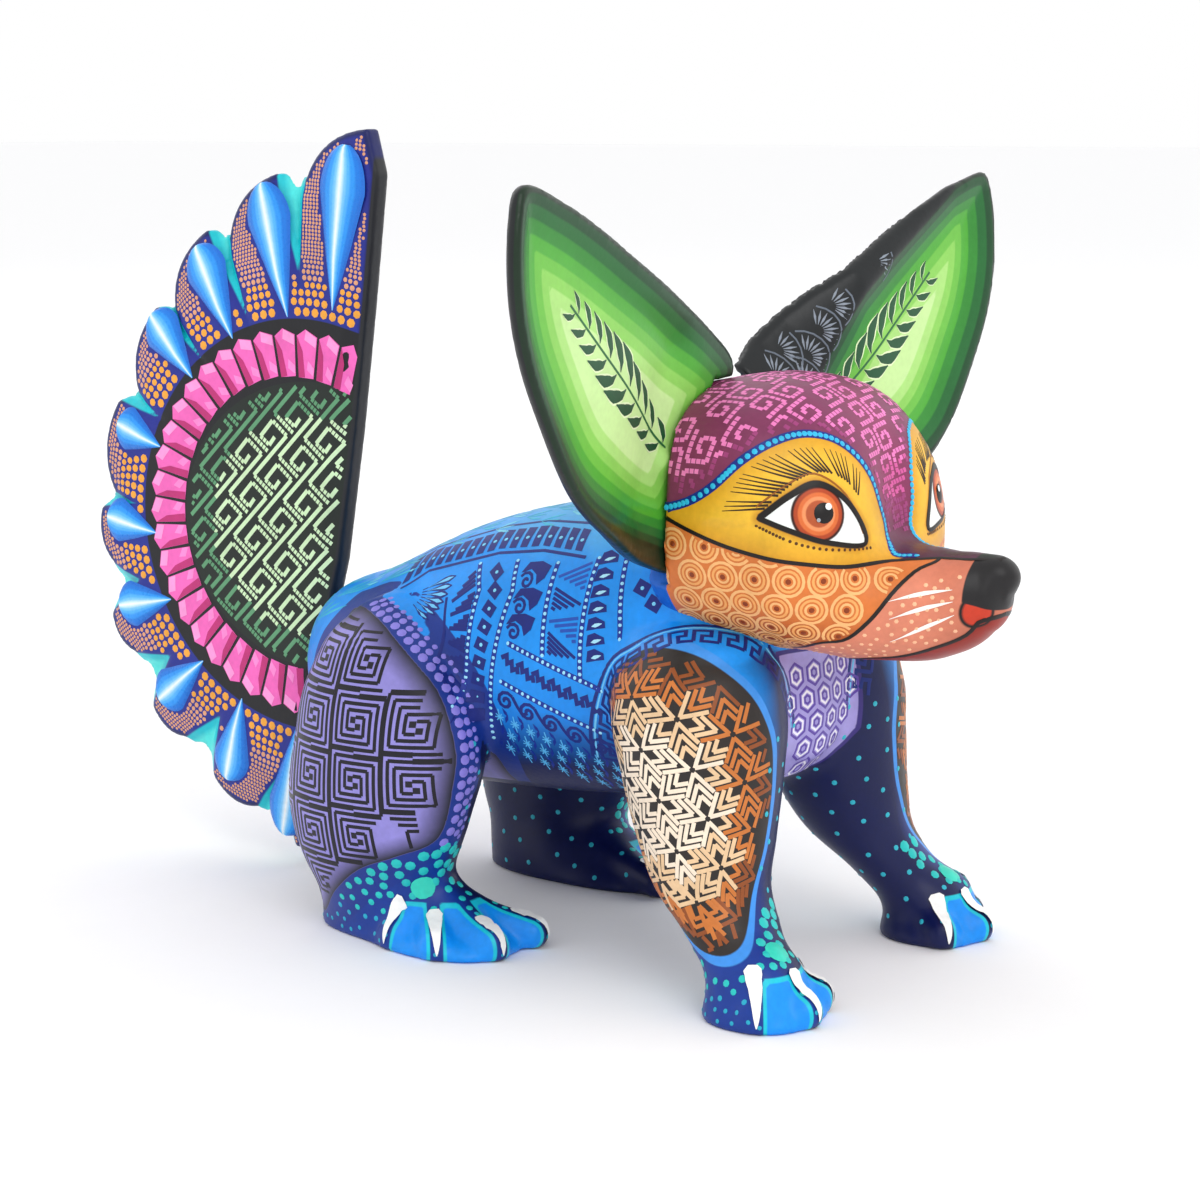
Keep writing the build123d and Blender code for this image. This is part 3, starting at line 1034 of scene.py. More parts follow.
def body_coat():
    """Blue from light above to dark below, with painted shade under the belly and on the insides of the legs,
    and the panels of the legs and chest.
    """
    coat = Coat("body_paint", "0C90EE")
    height, underside_shade, leg = coat.read("height"), coat.read("underside_shade"), coat.read("leg")
    haunch, panel, bib, web = (coat.read(name) for name in ("haunch", "panel", "bib", "web"))
    uneven = coat.both(coat.calc("SUBTRACT", coat.noise(9), 0.5), 10)
    high = coat.calc("ADD", height, uneven)
    coat.over(coat.below(high, 64, 30), "0876DA")
    coat.over(coat.below(high, 47, 14), "0648A8")
    # painted shade: surfaces that face downwards are painted near-black navy
    coat.over(coat.below(underside_shade, -0.5, 0.4), "071550")
    coat.over(coat.below(coat.calc("SUBTRACT", 100, high), -9, 10), "48AEEA")
    on_leg = coat.below(leg, 1.5, 3)
    coat.over(coat.both(on_leg, coat.below(height, 54, 16)), "0C3690")
    # painted shade: the insides of the legs, where they face each other, are painted near-black
    coat.over(coat.both(on_leg, coat.below(coat.read("inner"), 0.1, 0.5)), "06124A")
    coat.over(coat.below(haunch, HAUNCH_BAND), "12328A")
    coat.over(coat.below(haunch, 0), "9088D2")
    shaded = coat.below(coat.calc("SUBTRACT", 0, haunch), 2.6, 5)
    coat.over(coat.both(coat.below(haunch, 0), shaded), "1E1E26")
    coat.over(coat.below(panel, 1.7), "3C90E6")
    coat.over(coat.below(panel, 0), "2A2422")
    coat.over(coat.below(bib, 1.2), "3A2C7C")
    coat.over(coat.below(bib, 0), "A399DA")
    coat.over(coat.below(web, 0.9), "12C4D8")
    coat.over(coat.below(web, 0), "0690F2")
    return coat.done()


# ---------------------------------------------------------------- head zones

LINE_B = (      # the black line under the eyes: degrees round, degrees up
    (0, -0.5), (7.5, -1.4), (14, -2.4), (18.5, -3), (30, -3.6), (41, -3.6),
    (55.5, -1.8), (69, -0.2), (84, 3), (99.4, 7.8), (113, 12.5),
)
BROW = (        # the dotted line over the eyes
    (113, 12.5), (100, 17), (90, 23), (80.5, 31.5), (71, 38.4), (61, 43.2), (51, 44.8), (40, 43.5),
    (29.2, 38.4), (21.5, 30.5), (17.5, 20.5), (13, 11), (11.5, 3), (13.5, -1.6),
)
EYE_ZONE = BROW + LINE_B[3:]
MUZZLE_ZONE = (
    (0, -0.5), (8, -1.6), (17, -5.4), (26, -12.4), (34, -22.7), (40, -31), (50, -36), (60, -50),
    (60, -90), (0, -90),
)
MOUTH_LINE = ((0, -13.5), (6.5, -14.8), (8.2, -19.7), (12.5, -26.2), (18.5, -34.4), (24, -44), (26, -60))
MOUTH_ZONE = MOUTH_LINE + ((26, -90), (0, -90))
EYE = (         # the white of an eye
    (72.2, 14), (61.6, 21.8), (50.8, 26.2), (37.9, 19.3), (30.1, 4.9), (47.4, 5.9), (59.6, 9.5),
)
IRIS = (29.7, -116, 122.8)
IRIS_RINGS = (  # radius, colour, from the rim inwards
    (6.9, "3C140C"), (6.2, "B4451E"), (5.2, "DE6E34"), (4.2, "F0935E"), (3.3, "B8552C"),
)
NOSTRIL = (8.0, -147.6, 99)


def level(value, marks):
    """Height of a line through marks, at a place along it."""
    x, y = zip(*sorted(marks))
    return np.interp(value, x, y)


def head_angles(places):
    """Degrees round from the front and up, as the head is painted."""
    d = places - HEAD_HEART
    lon = np.degrees(np.arctan2(np.abs(d[:, 0]), -d[:, 1]))
    lon = np.where(d[:, 0] > 0, lon + far_shift(lon), lon)
    return lon, np.degrees(np.arctan2(d[:, 2], np.hypot(d[:, 0], d[:, 1])))


head_points = points_of(head)
x, y, z = head_points.T
lon, lat = head_angles(head_points)


def degrees_zone(outline, smooth=0):
    """Distance of the head's points to an outline in degrees."""
    edge = smooth_outline(outline, smooth) if smooth else np.array(outline, float)
    return outline_distance(lon, lat, edge) * DEGREE


reach = np.hypot(x, y - HEAD_HEART[1])
painted_x, painted_y = reach * np.sin(np.radians(lon)), HEAD_HEART[1] - reach * np.cos(np.radians(lon))
mirrored = np.stack([painted_x, painted_y, z], 1)
mouth = degrees_zone(MOUTH_ZONE)
give(head, "eye_zone", degrees_zone(EYE_ZONE))
give(head, "cheek", (lat - level(lon, LINE_B)) * DEGREE)
give(head, "muzzle", degrees_zone(MUZZLE_ZONE))
give(head, "mouth", np.where(y < -104, mouth, 9))
give(head, "eye", degrees_zone(EYE + EYE[:1], 5))
give(head, "iris", np.linalg.norm(mirrored - IRIS, axis=1))
give(head, "nose", np.maximum(y + 144.8, 99.2 - z + 0.35 * (y + 151)))
give(head, "nostril", np.linalg.norm(mirrored - NOSTRIL, axis=1))
give(head, "back", -76.5 - y)
give(head, "round", lon)
give(head, "up", lat)


def head_coat():
    """Plum crown, yellow eye zone, orange cheeks, salmon muzzle, eyes and nose."""
    coat = Coat("head_paint", "7E2F58")
    up, cheek, muzzle = coat.read("up"), coat.read("cheek"), coat.read("muzzle")
    edge, around, nostril = coat.read("eye_zone"), coat.read("round"), coat.read("nostril")
    eye = coat.read("eye")
    coat.over(coat.below(around, 20, 30), "8C2E5C")
    coat.over(coat.below(up, 8, 20), "4A1A38")
    coat.over(coat.below(cheek, 0), "D87634")
    coat.over(coat.both(coat.below(cheek, 0), coat.below(up, -26, 12)), "B4541E")
    coat.over(coat.both(coat.below(coat.read("back"), 0), coat.below(up, 20, 2)), "0A5CC0")
    coat.over(coat.below(muzzle, 0), "DC8468")
    coat.over(coat.both(coat.below(muzzle, 0), coat.below(around, 12, 12)), "C46E54")
    coat.over(coat.below(edge, 0), "F2BC34")
    rim = coat.calc("SUBTRACT", 0, edge)
    coat.over(coat.both(coat.below(edge, 0), coat.below(rim, 3, 6)), "DA9A1E")
    coat.over(coat.below(eye, 1.4, 2.2), "C07A14")
    coat.over(coat.below(coat.read("mouth"), 0), "96200F")
    coat.over(coat.below(nostril, 4.5, 0.5), "151313")
    coat.over(coat.below(nostril, 3.6, 0.6), "CC3A20")
    coat.over(coat.below(coat.read("nose"), 0), "1C1A1C")
    coat.over(coat.below(eye, 0.9), "1A1412")
    inside = coat.below(eye, -0.1)
    coat.over(inside, "F8FCFA")
    for radius, code in IRIS_RINGS:
        coat.over(coat.both(inside, coat.below(coat.read("iris"), radius, 0.35)), code)
    return coat.done()


# ---------------------------------------------------------------- ears and tail zones

EAR_BANDS = (   # distance in from the rim, colour
    (0.0, "122A18"), (1.6, "1B4A29"), (4.0, "246A33"), (6.8, "358A34"), (9.8, "4CA833"),
    (12.8, "6ABC40"), (15.8, "8ACE58"), (18.8, "AADE7A"), (22.0, "C6EA9C"),
)
DISC = ((66.5, 101.2), (49.8, 41.5))
JEWELS = ((72.5, 101.7), (58.2, 56.2))
HALO = ((70.4, 101), (62.7, 59.5))

for side in (-1, 1):
    points, normals = points_of(ears[side]), normals_of(ears[side])
    down, out, height = ear_place(points, side).T
    past = roll_past(down, out) if side > 0 else np.full(len(down), -60.0)
    edge = ear_edge(down, out) + 5 * fade(down, 4, 26) * fade(out, 60, 10)
    give(ears[side], "roll", np.minimum(-past, 9))
    give(ears[side], "edge", np.maximum(edge, past - 1))
    give(ears[side], "facing", normals @ (np.array(EAR_FRONT) * (side, 1, 1)))


def ear_coat():
    """Green bands, paler inwards, and dark behind."""
    coat = Coat("ear_paint", "17301F", roughness=0.32)
    edge = coat.read("edge")
    for deep, code in EAR_BANDS:
        coat.over(coat.below(edge, -deep, 0.5), code)
    coat.over(coat.below(coat.read("facing"), 0.25, 0.2), "1B1E20")
    coat.over(coat.below(coat.read("roll"), 0, 0.4), "1B1E20")
    return coat.done(uneven=0.1)


def ellipse(centre, radii, u, v):
    """Distance to an ellipse, less than nothing inside it."""
    return (np.hypot((u - centre[0]) / radii[0], (v - centre[1]) / radii[1]) - 1) * min(radii)


points = points_of(tail)
x, y, z = points.T
give(tail, "disc", ellipse(*DISC, y, z))
give(tail, "halo", ellipse(*HALO, y, z))
give(tail, "front", y - fan_front(z))
give(tail, "edge", fan_edge(y, z))
give(tail, "groove", fan_groove(y, z))


def tail_coat():
    """Dark blue fan with turquoise grooves, and the dark grounds of disc and jewels."""
    coat = Coat("tail_paint", "1E2A8C")
    edge, groove = coat.read("edge"), coat.read("groove")
    coat.over(coat.below(coat.calc("SUBTRACT", 0, edge), 1.6, 1), "121A5C")
    coat.over(coat.below(groove, -0.3, 0.5), "08C4D0")
    coat.over(coat.below(groove, -2.4, 1.5), "4FE4E0")
    coat.over(coat.below(coat.read("halo"), 0), "17171C")
    coat.over(coat.below(coat.read("disc"), 0), "1A231E")
    coat.over(coat.below(coat.read("front"), 1.3, 0.4), "222327")
    return coat.done()


def dress(piece, material):
    """Give a skin its paint."""
    piece.data.materials.clear()
    piece.data.materials.append(material)


def peg_wood():
    """Bare turned wood, with darker grain lines."""
    coat = Coat("bare_wood", "DDBB8A", roughness=0.6, varnish=0.0)
    grain = coat.noise(1.6, 4.0, (0.25, 1.0, 1.0))
    coat.over(coat.below(grain, 0.48, 0.25), "BC9259")
    coat.over(coat.below(coat.noise(9.0, 3.0), 0.42, 0.2), "C9A06A")
    return coat.done(uneven=0.1)


dress(body, body_coat())
dress(head, head_coat())
dress(tail, tail_coat())
ear_paint = ear_coat()
for side in (-1, 1):
    dress(ears[side], ear_paint)

wood = peg_wood()
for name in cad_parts:
    if name.endswith(("_peg", "_dowel")):
        for slot in bpy.data.objects[name].material_slots:
            slot.material = wood

# ---------------------------------------------------------------- brush work: helpers


def scatter(piece, mask, spacing, seed):
    """Points of a skin inside a mask, no two closer than a spacing, with their normals."""
    places, ways = points_of(piece)[mask], normals_of(piece)[mask]
    order = np.random.default_rng(seed).permutation(len(places))
    kept, cells = [], {}
    for i in order:
        cell = tuple(np.floor(places[i] / spacing).astype(int))
        near = [j for a in (-1, 0, 1) for b in (-1, 0, 1) for c in (-1, 0, 1)
                for j in cells.get((cell[0] + a, cell[1] + b, cell[2] + c), ())]
        if all(np.linalg.norm(places[i] - places[j]) > spacing for j in near):
            cells.setdefault(cell, []).append(i)
            kept.append(i)
    return [(places[i], ways[i]) for i in kept]


def turned_path(path, turn, scale=1.0, move=(0, 0)):
    """A path turned by degrees, scaled and moved."""
    c, s = math.cos(math.radians(turn)), math.sin(math.radians(turn))
    p = np.array(path, float) * scale
    return np.stack([p[:, 0] * c - p[:, 1] * s, p[:, 0] * s + p[:, 1] * c], 1) + move


SPIRAL_POINTS = 16


def spiral(turns, radius, start, hand):
    """A flat spiral that runs in to its middle."""
    t = np.linspace(0, 1, SPIRAL_POINTS)
    angle = start + hand * t * turns * 2 * math.pi
    return np.stack([np.cos(angle), np.sin(angle)], 1) * (radius * (1 - 0.9 * t))[:, None]


def taper(wide, peak=0.4):
    """Width along a stroke that swells from nothing to its widest and back."""
    return lambda t: wide * max(0.12, math.sin(math.pi * t ** (math.log(0.5) / math.log(peak))))


KEY = ((0, 0), (9.5, 0), (9.5, 7.6), (2.6, 7.6), (2.6, 3.0), (6.6, 3.0), (6.6, 5.2))     # a square spiral
KEY_WIDTH, KEY_HEIGHT = 9.5, 7.6
KEY_PITCH = (12.4, 10.2)


def fret(strokes, chart, inside, turn, scale, reach, width, codes, middle):
    """A weave of square spirals, broken up as if by a small brush."""
    count = int(reach / (KEY_PITCH[1] * scale)) + 1
    for j in range(-count, count + 1):
        for i in range(-count, count + 1):
            base = np.array((i * KEY_PITCH[0] + (j % 2) * 6.2, j * KEY_PITCH[1]))
            path = KEY if (i + j) % 2 else [(KEY_WIDTH - a, KEY_HEIGHT - b) for a, b in KEY]
            path = turned_path([base + p for p in path], turn, scale, middle)
            for a, b in zip(path, path[1:]):
                strokes.dashes(chart, a, b, width, 1.9 * scale, 0.84, inside, codes)


# ---------------------------------------------------------------- tail

TEARS = (       # tip of a drop, its root, half width; y, z
    ((52.4, 209.4), (58.4, 162.6), 8.2),
    ((83.7, 198.6), (74.9, 160.2), 8.2),
    ((109.4, 180.2), (96.1, 153.3), 8.0),
    ((128.1, 159.8), (112.3, 141.2), 7.5),
    ((143.4, 126.6), (125.9, 120.2), 6.8),
    ((148.8, 98), (128.5, 94.2), 6.8),
    ((144.9, 70.7), (123.1, 74.7), 7.0),
    ((129.2, 43.1), (110.7, 57.5), 7.0),
    ((102.1, 22.1), (95.7, 48.1), 7.0),
    ((79.9, 8.5), (73.2, 44.6), 7.6),
)
TEAR_HEIGHT = 1.3
TEAR_BLUNT = 0.28       # the share of a drop's length taken by its round end
TEAR_COLUMNS = 13
TEAR_TINTS = (          # distance out from the middle, colour
    (0.86, "1C7ADC"), (0.66, "2C96F0"), (0.44, "52B2FA"), (0.28, "7CC8FC"), (0.15, "C4E8FF"),
    (0.05, "F6FCFF"),
)


def tear_width(s):
    """Half width along a drop, from its round end to its point."""
    if s < TEAR_BLUNT:
        return math.sqrt(max(0, 1 - (1 - s / TEAR_BLUNT) ** 2))
    return ((1 - s) / 0.72) ** 0.9


def tear_coat():
    """A drop's blue, white along its middle."""
    coat = Coat("tear_paint", "1E6FD2", roughness=0.28)
    across = coat.read("across")
    for limit, code in TEAR_TINTS:
        coat.over(coat.below(across, limit, 0.1), code)
    return coat.done(uneven=0.08)


tear_paint = tear_coat()
stations = np.concatenate([[0.004], np.linspace(0.02, TEAR_BLUNT, 8), np.linspace(0.34, 0.985, 14)])
for side_name, side in SIDES:
    for number, (tip, root, half) in enumerate(TEARS, 1):
        tip, root = np.array(tip), np.array(root)
        way = root - tip
        cross = np.array((-way[1], way[0])) / np.linalg.norm(way)
        rows, across, faces = [], [], []
        for s in stations:
            w = half * tear_width(s)
            swell = 0.45 + TEAR_HEIGHT * min(1, w / 4)
            for t in np.linspace(-1, 1, TEAR_COLUMNS):
                u, v = tip + way * s + cross * w * t
                rows.append((side * (FAN_HALF - 0.4 + swell * math.sqrt(1 - 0.96 * t * t)), u, v))
                across.append(abs(t))
        for i in range(len(stations) - 1):
            for j in range(TEAR_COLUMNS - 1):
                k = i * TEAR_COLUMNS + j
                faces.append((k, k + TEAR_COLUMNS, k + TEAR_COLUMNS + 1, k + 1)[::side])
        piece = make_piece(f"tail_drop_{side_name}_{number}", np.array(rows), faces, "tail_body")
        give(piece, "across", across)
        piece.data.materials.append(tear_paint)


def in_tear(u, v, margin):
    """Whether a place on the fan is on a drop, or within a margin of one."""
    for tip, root, half in TEARS:
        tip, root = np.array(tip), np.array(root)
        way = root - tip
        s = ((u - tip[0]) * way[0] + (v - tip[1]) * way[1]) / (way @ way)
        if -0.05 < s < 1.02:
            off = abs((u - tip[0]) * way[1] - (v - tip[1]) * way[0]) / np.linalg.norm(way)
            if off < half * tear_width(min(max(s, 0.005), 1)) + margin:
                return True
    return False


DISC_STEPS = np.array(((-1.5, -12.6), (-9.8, 5.9)))     # from one hook of the disc's weave to the next
DISC_HOOK = ((-7, -5.3), (0, 0), (-12.9, 12.2), (-7.6, 16.3), (-2.9, 11.5), (-6.2, 9.1), (-8.3, 11.6))
JEWEL_FACETS = (        # lift, outline as places in from the rim and across, colour
    (0, ((0.2, -0.6), (2.2, -3.8), (14, -2.75), (14, 2.75), (2.2, 3.8)), "F468BC"),
    (0.05, ((2.4, -3.7), (14, -2.7), (13.8, -0.4), (6.5, -1.5)), "BE2C74"),
    (0.05, ((0.4, -0.4), (2.4, 3.6), (5.2, 3.3), (3.2, -0.9)), "FF9CDA"),
    (0.05, ((9, 0.6), (11, 2.9), (13.4, 2.7), (11.6, 0.2)), "FF8CD2"),
)


def disc_weave(side_name, side):
    """The woven fret in the middle of the fan."""
    chart = fan(side)
    weave = Strokes(f"tail_weave_{side_name}", on_tail, "tail_body", "painted_tail")

    def in_disc(u, v):
        rim = float(ellipse(*DISC, u, v))
        if rim > -1.4 or u < fan_front(v) + 2.2:
            return None
        return 0 if rim < -9 else 1
    for i in range(-8, 9):
        for j in range(-8, 9):
            start = np.array(DISC[0]) + i * DISC_STEPS[0] + j * DISC_STEPS[1]
            if np.linalg.norm(start - DISC[0]) > 70:
                continue
            path = start + np.array(DISC_HOOK)
            for k, (a, b) in enumerate(zip(path, path[1:])):
                dash, fill = (1.25, 0.78) if k in (0, 2, 4) else (3.2, 1.0)
                weave.dashes(chart, a, b, 1.25, dash, fill, in_disc, ("CDE9BC", "5E9A70"))
    weave.done()


def jewel_ring(side_name, side):
    """The ring of pink cut jewels round the disc."""
    chart = fan(side)
    jewels = Strokes(f"tail_jewels_{side_name}", on_tail, "tail_body", "painted_tail")
    for angle in np.linspace(112, -104, 26):
        a = math.radians(angle)
        rim = np.array(JEWELS[0]) + np.array((math.cos(a), math.sin(a))) * JEWELS[1]
        way = np.array((DISC[0][0] + 4, JEWELS[0][1])) - rim
        way /= np.linalg.norm(way)
        cross = np.array((way[1], -way[0]))
        middle = rim + way * 7
        if middle[0] < fan_front(middle[1]) + 2:
            continue
        for lift, shape, code in JEWEL_FACETS:
            outline = [rim + way * r + cross * c for r, c in shape]
            inside = [(max(u, fan_front(v) + 1.2), v) for u, v in outline]
            if lift == 0 or all(p[0] == q[0] for p, q in zip(inside, outline)):
                jewels.patch(chart, inside, code, step=3.5, extra=lift)
    jewels.done()


def fan_dots(side_name, side):
    """Rows of dots from the jewels outwards, smaller and smaller, between the drops."""
    chart = fan(side)
    dots = Strokes(f"tail_dots_{side_name}", on_tail, "tail_body", "painted_tail")
    offset, row = 2.0, 0
    while offset < 58:
        size = max(0.5, 1.45 - 0.055 * offset)
        ring = np.array(HALO[1]) + offset
        count = int(2 * math.pi * ring.mean() / (size * 2.35))
        for k in range(count):
            a = (k + 0.5 * (row % 2)) * 2 * math.pi / count
            u, v = HALO[0][0] + ring[0] * math.cos(a), HALO[0][1] + ring[1] * math.sin(a)
            if u < fan_front(v) + 2.4 or at(fan_edge, (u, v)) > -1.8:
                continue
            if in_tear(u, v, size + 0.25) or at(fan_groove, (u, v)) < size + 0.3:
                continue
            dots.dot(chart(u, v), size, "F2A63C" if size > 0.9 else "E0A07A", sides=7)
        offset += size * 2.15
        row += 1
    dots.done()


for side_name, side in SIDES:
    disc_weave(side_name, side)
    jewel_ring(side_name, side)
    fan_dots(side_name, side)

# ---------------------------------------------------------------- ears

SPRIG = ((-3.5, 17), (-19.5, 73))       # stalk of the leaf sprig, down and out
LEAVES = 10
LEAF = ((0.12, 0.1), (0.45, 0.35), (0.8, 0.75), (1.0, 1.25))    # a leaf's curve: out, and up the stalk
LEAF_LENGTH = 7.4


def rim_at(down, out, side):
    """The distance to an ear's outline at one place."""
    return ear_rim(np.array([down]), np.array([out]), side)[0]


def ear_brushwork(side_name, side):
    """A leafy sprig inside an ear, and grey scales on its back."""
    chart = ear_front(side)
    surface = on_ear[side]
    sprig = Strokes(f"{side_name}_ear_sprig", surface, f"{side_name}_ear_body", "painted_ear_green")
    start, end = np.array(SPRIG[0]), np.array(SPRIG[1])
    way = (end - start) / np.linalg.norm(end - start)
    cross = np.array((way[1], -way[0]))
    sprig.line(chart, [start - way * 2, start + way * 20, end], 0.7, "2A6B3A", step=3)
    for i in range(LEAVES):
        t = i / (LEAVES - 1)
        size = 1.0 - 0.45 * abs(2 * t - 0.9)
        for hand in (-1, 1):
            foot = start + (end - start) * (t * 0.94 + 0.012 * hand)
            path = [foot + cross * hand * LEAF_LENGTH * size * a
                    + way * LEAF_LENGTH * size * (0.9 * a + 0.1 * a * a) * b for a, b in LEAF]
            sprig.line(chart, path, taper(4.2 * size, 0.5), "E4F6C4", step=1.4)
            sprig.line(chart, path, taper(3.1 * size, 0.5), "1C5230", step=1.4, extra=0.05)
    sprig.done()
    scales = Strokes(f"{side_name}_ear_scales", surface, f"{side_name}_ear_body", "painted_ear_green")

    def feathers(chart, down, out, size):
        for fan_turn in range(-64, 65, 16):
            a = math.radians(fan_turn)
            way = np.array((math.sin(a), math.cos(a))) * size
            foot, tip = np.array((down, out)) + way * 0.3, np.array((down, out)) + way
            if rim_at(*tip, side) < -1.6:
                scales.line(chart, [foot, tip], taper(0.95, 0.7), "8A94A0", step=2)
        arc = [(down + 1.16 * size * math.sin(a), out + 1.16 * size * math.cos(a))
               for a in np.linspace(-1.35, 1.35, 9)]
        arc = [p for p in arc if rim_at(*p, side) < -1.8]
        if len(arc) > 2:
            scales.line(chart, arc, 0.5, "66707C", step=2)
    for row, out in enumerate(np.arange(6, 104, 6.2)):
        for down in np.arange(-38 + 4.5 * (row % 2), 28, 9):
            if rim_at(down, out, side) >= -1.5:
                continue
            feathers(ear_back(side), down, out, 5.6)
            if side > 0 and 2 < roll_past(down, out) and out < 70:
                feathers(ear_front(side), down, out, 5.6)
    scales.done()


for side_name, side in SIDES:
    ear_brushwork(side_name, side)

# ---------------------------------------------------------------- face

BROW_HEIGHT = 60        # middle of the forehead's chart, degrees up
BROW_END = ((13, 3), (15, -1.2), (10.5, -1.3))      # how the dotted line ends beside the nose
FACE_BACK = -77         # the brush work of the face stops at this plane
LASHES = 26
LASH_FEET = ((70.5, 17.2), (63.5, 23.8), (56.1, 28.8), (48, 30.6), (39.2, 28.4), (33.2, 23.2))
LASH_ENDS = (
    (86, 15.4), (82.3, 23.4), (76.4, 30.4), (65.5, 36.4), (53, 39.4), (39.4, 38.4), (30, 32.5),
)
LOWER_LID = ((73.5, 11.2), (61.3, 6.2), (50.8, 3.6), (38.5, 2.6), (27.5, 2.4))
WHISKERS = (((27, -14.3), (12.6, -8.4)), ((27, -19.4), (13, -11.3)), ((25, -27), (12.6, -14.6)))
CHEEK_RINGS = ((3.75, 0.75, "F6B877"), (2.6, 0.65, "F2A860"), (1.5, 0.6, "F6B877"))  # radius, width


def degrees_map(outline):
    """The distance to a zone's outline on the head's chart, kept as a map."""
    edge = np.array(outline, float)
    return Relief(lambda u, v: outline_distance(u, v, edge) * DEGREE, (-4, -92), (150, 92), 1.0)


eye_zone_at, muzzle_at = degrees_map(EYE_ZONE), degrees_map(MUZZLE_ZONE)


def head_degrees(place):
    """Degrees round and up of one place on the head."""
    around, up = head_angles(place[None])
    return around[0], up[0]


def crown(a, b):
    """The top of the head, in degrees across and up from its middle."""
    far = math.radians(math.hypot(a, b))
    c, s = math.cos(math.radians(BROW_HEIGHT)), math.sin(math.radians(BROW_HEIGHT))
    middle, up = np.array((0, -c, s)), np.array((0, s, c))
    way = middle * math.cos(far)
    if far > 1e-6:
        way = way + (a * np.array((1.0, 0, 0)) + b * up) / math.hypot(a, b) * math.sin(far)
    return on_head.cast(HEAD_HEART, way)


def crown_weave():
    """The fret over the top of the head, clear of the eye zones."""
    weave = Strokes("head_weave", on_head, "body", "painted_face")

    def in_crown(a, b):
        spot = crown(a, b)
        if spot is None:
            return None
        around, up = head_degrees(spot[0])
        clear = at(eye_zone_at, (around, up))
        if clear < 2.3 or up < 7 or spot[0][1] > FACE_BACK:
            return None
        if around > 88 and up < level(around, BROW[:3]) + 3.5:
            return None
        return 2 if up < 24 or clear < 4 else (0 if up > 38 or around > 50 else 1)
    fret(weave, crown, in_crown, 8, 1.12, 105, 1.2, ("F07CC0", "D85AA0", "A03C78"), (4, -4))
    weave.done()


def face_lines(lines, dots, side):
    """The dotted line over an eye, and the lines of eye, cheek and mouth."""
    chart = face(side)
    brow = smooth_outline(BROW[:-2] + BROW_END, 4)
    lines.line(chart, brow, 2.3, "0E2A84", step=2)
    dots.chain(chart, brow, 3.2, 0.74, "2EB8E6", extra=0.05)
    lines.line(chart, smooth_outline(LINE_B, 4), 1.0, "1A1210", step=2, extra=0.04)
    lines.line(chart, smooth_outline(MUZZLE_ZONE[1:8], 4), 1.0, "1A1210", step=2, extra=0.04)
    lines.line(chart, smooth_outline(MOUTH_LINE, 4), 1.3, "1A0E0C", step=2, extra=0.04)
    lid = smooth_outline(EYE + EYE[:1], 6)
    lines.line(chart, lid[:25], 1.5, "16100E", step=1.5, extra=0.05)
    lines.line(chart, lid[24:], 0.9, "16100E", step=1.5, extra=0.05)
    crease = [(p[0] + 1.5, p[1] + 3.6) for p in smooth_outline(EYE[:5], 5)]
    lines.line(chart, crease, 0.55, "9A5A12", step=1.5)


def eye_and_whiskers(lines, dots, side):
    """Lashes, pupil and glints, and the strokes on the muzzle."""
    chart = face(side)
    feet, ends = smooth_outline(LASH_FEET, 6), smooth_outline(LASH_ENDS, 5)
    for t in np.linspace(0, 1, LASHES):
        foot = feet[round(t * (len(feet) - 1))]
        end = ends[round(t * (len(ends) - 1))]
        lines.line(chart, [foot, end], lambda s: 0.62 * (1 - 0.7 * s), "33200A", step=4)
    dots.chain(chart, smooth_outline(LOWER_LID, 5), 2.6, 0.42, "5A3408")
    dots.dot(chart(49.2, 16.1), 2.55, "140F10", sides=20, extra=0.02)
    dots.dot(chart(47.6, 18.4), 0.85, "F6F8FA", sides=12, extra=0.4)
    dots.dot(chart(51.4, 13.6), 0.5, "A7AEB6", sides=10, extra=0.36)
    for start, end in WHISKERS:
        lines.line(chart, [start, end], taper(1.1, 0.6), "FFF6EE", step=3, extra=0.1)


def muzzle_spots(dots):
    """Pale spots all over the muzzle."""
    around, up = head_angles(head_points)
    ahead = head_points[:, 1]
    mask = (muzzle_at(around, up) < -1.6) & ((mouth > 1.8) | (ahead > -104)) & (ahead > -143.5)
    mask &= (around > 4) & (np.abs(head_points[:, 0]) > 2)
    for spot in scatter(head, mask, 2.2, 5):
        dots.dot(spot, 0.58, "FFBE96", sides=6)


def cheek_rings():
    """Rows of rings under the eyes."""
    rings = Strokes("head_rings", on_head, "body", "painted_face")

    def on_cheek(place):
        pair = head_degrees(place)
        return pair[1] < level(pair[0], LINE_B) - 1.6 and at(muzzle_at, pair) > 1.0
    for _, side in SIDES:
        chart = face(side)
        for row in range(7):
            up = 2.5 - 10.6 * row
            for k in range(12):
                around = 118 - (12.4 * k + 6.2 * (row % 2)) / math.cos(math.radians(up * 0.9))
                spot = chart(around, up) if around >= 15 else None
                if spot is None or spot[0][1] > FACE_BACK:
                    continue
                for radius, width, code in CHEEK_RINGS:
                    rings.ring(spot, radius, width, code, on_cheek)
                if on_cheek(spot[0]):
                    rings.dot(spot, 0.75, "8A3A12", sides=7)
    rings.done()


crown_weave()
lines = Strokes("head_lines", on_head, "body", "painted_face")
dots = Strokes("head_dots", on_head, "body", "painted_face")
for work in (face_lines, eye_and_whiskers):
    for _, side in SIDES:
        work(lines, dots, side)
lines.done()
muzzle_spots(dots)
dots.done()
cheek_rings()

# ---------------------------------------------------------------- body


def mirrored_near(side):
    """The nearest place on the body to one given for the left side."""
    return lambda x, y, z: on_body.near((x * side, y, z))


def lengths_to(path):
    """The length of a path up to each of its points."""
    return np.concatenate([[0], np.cumsum(np.linalg.norm(np.diff(path, axis=0), axis=1))])


def measured(path, t):
    """The place a given share of the way down an open path."""
    path = np.array(path, float)
    gone = lengths_to(path)
    return np.array([np.interp(t * gone[-1], gone, path[:, i]) for i in (0, 1)])


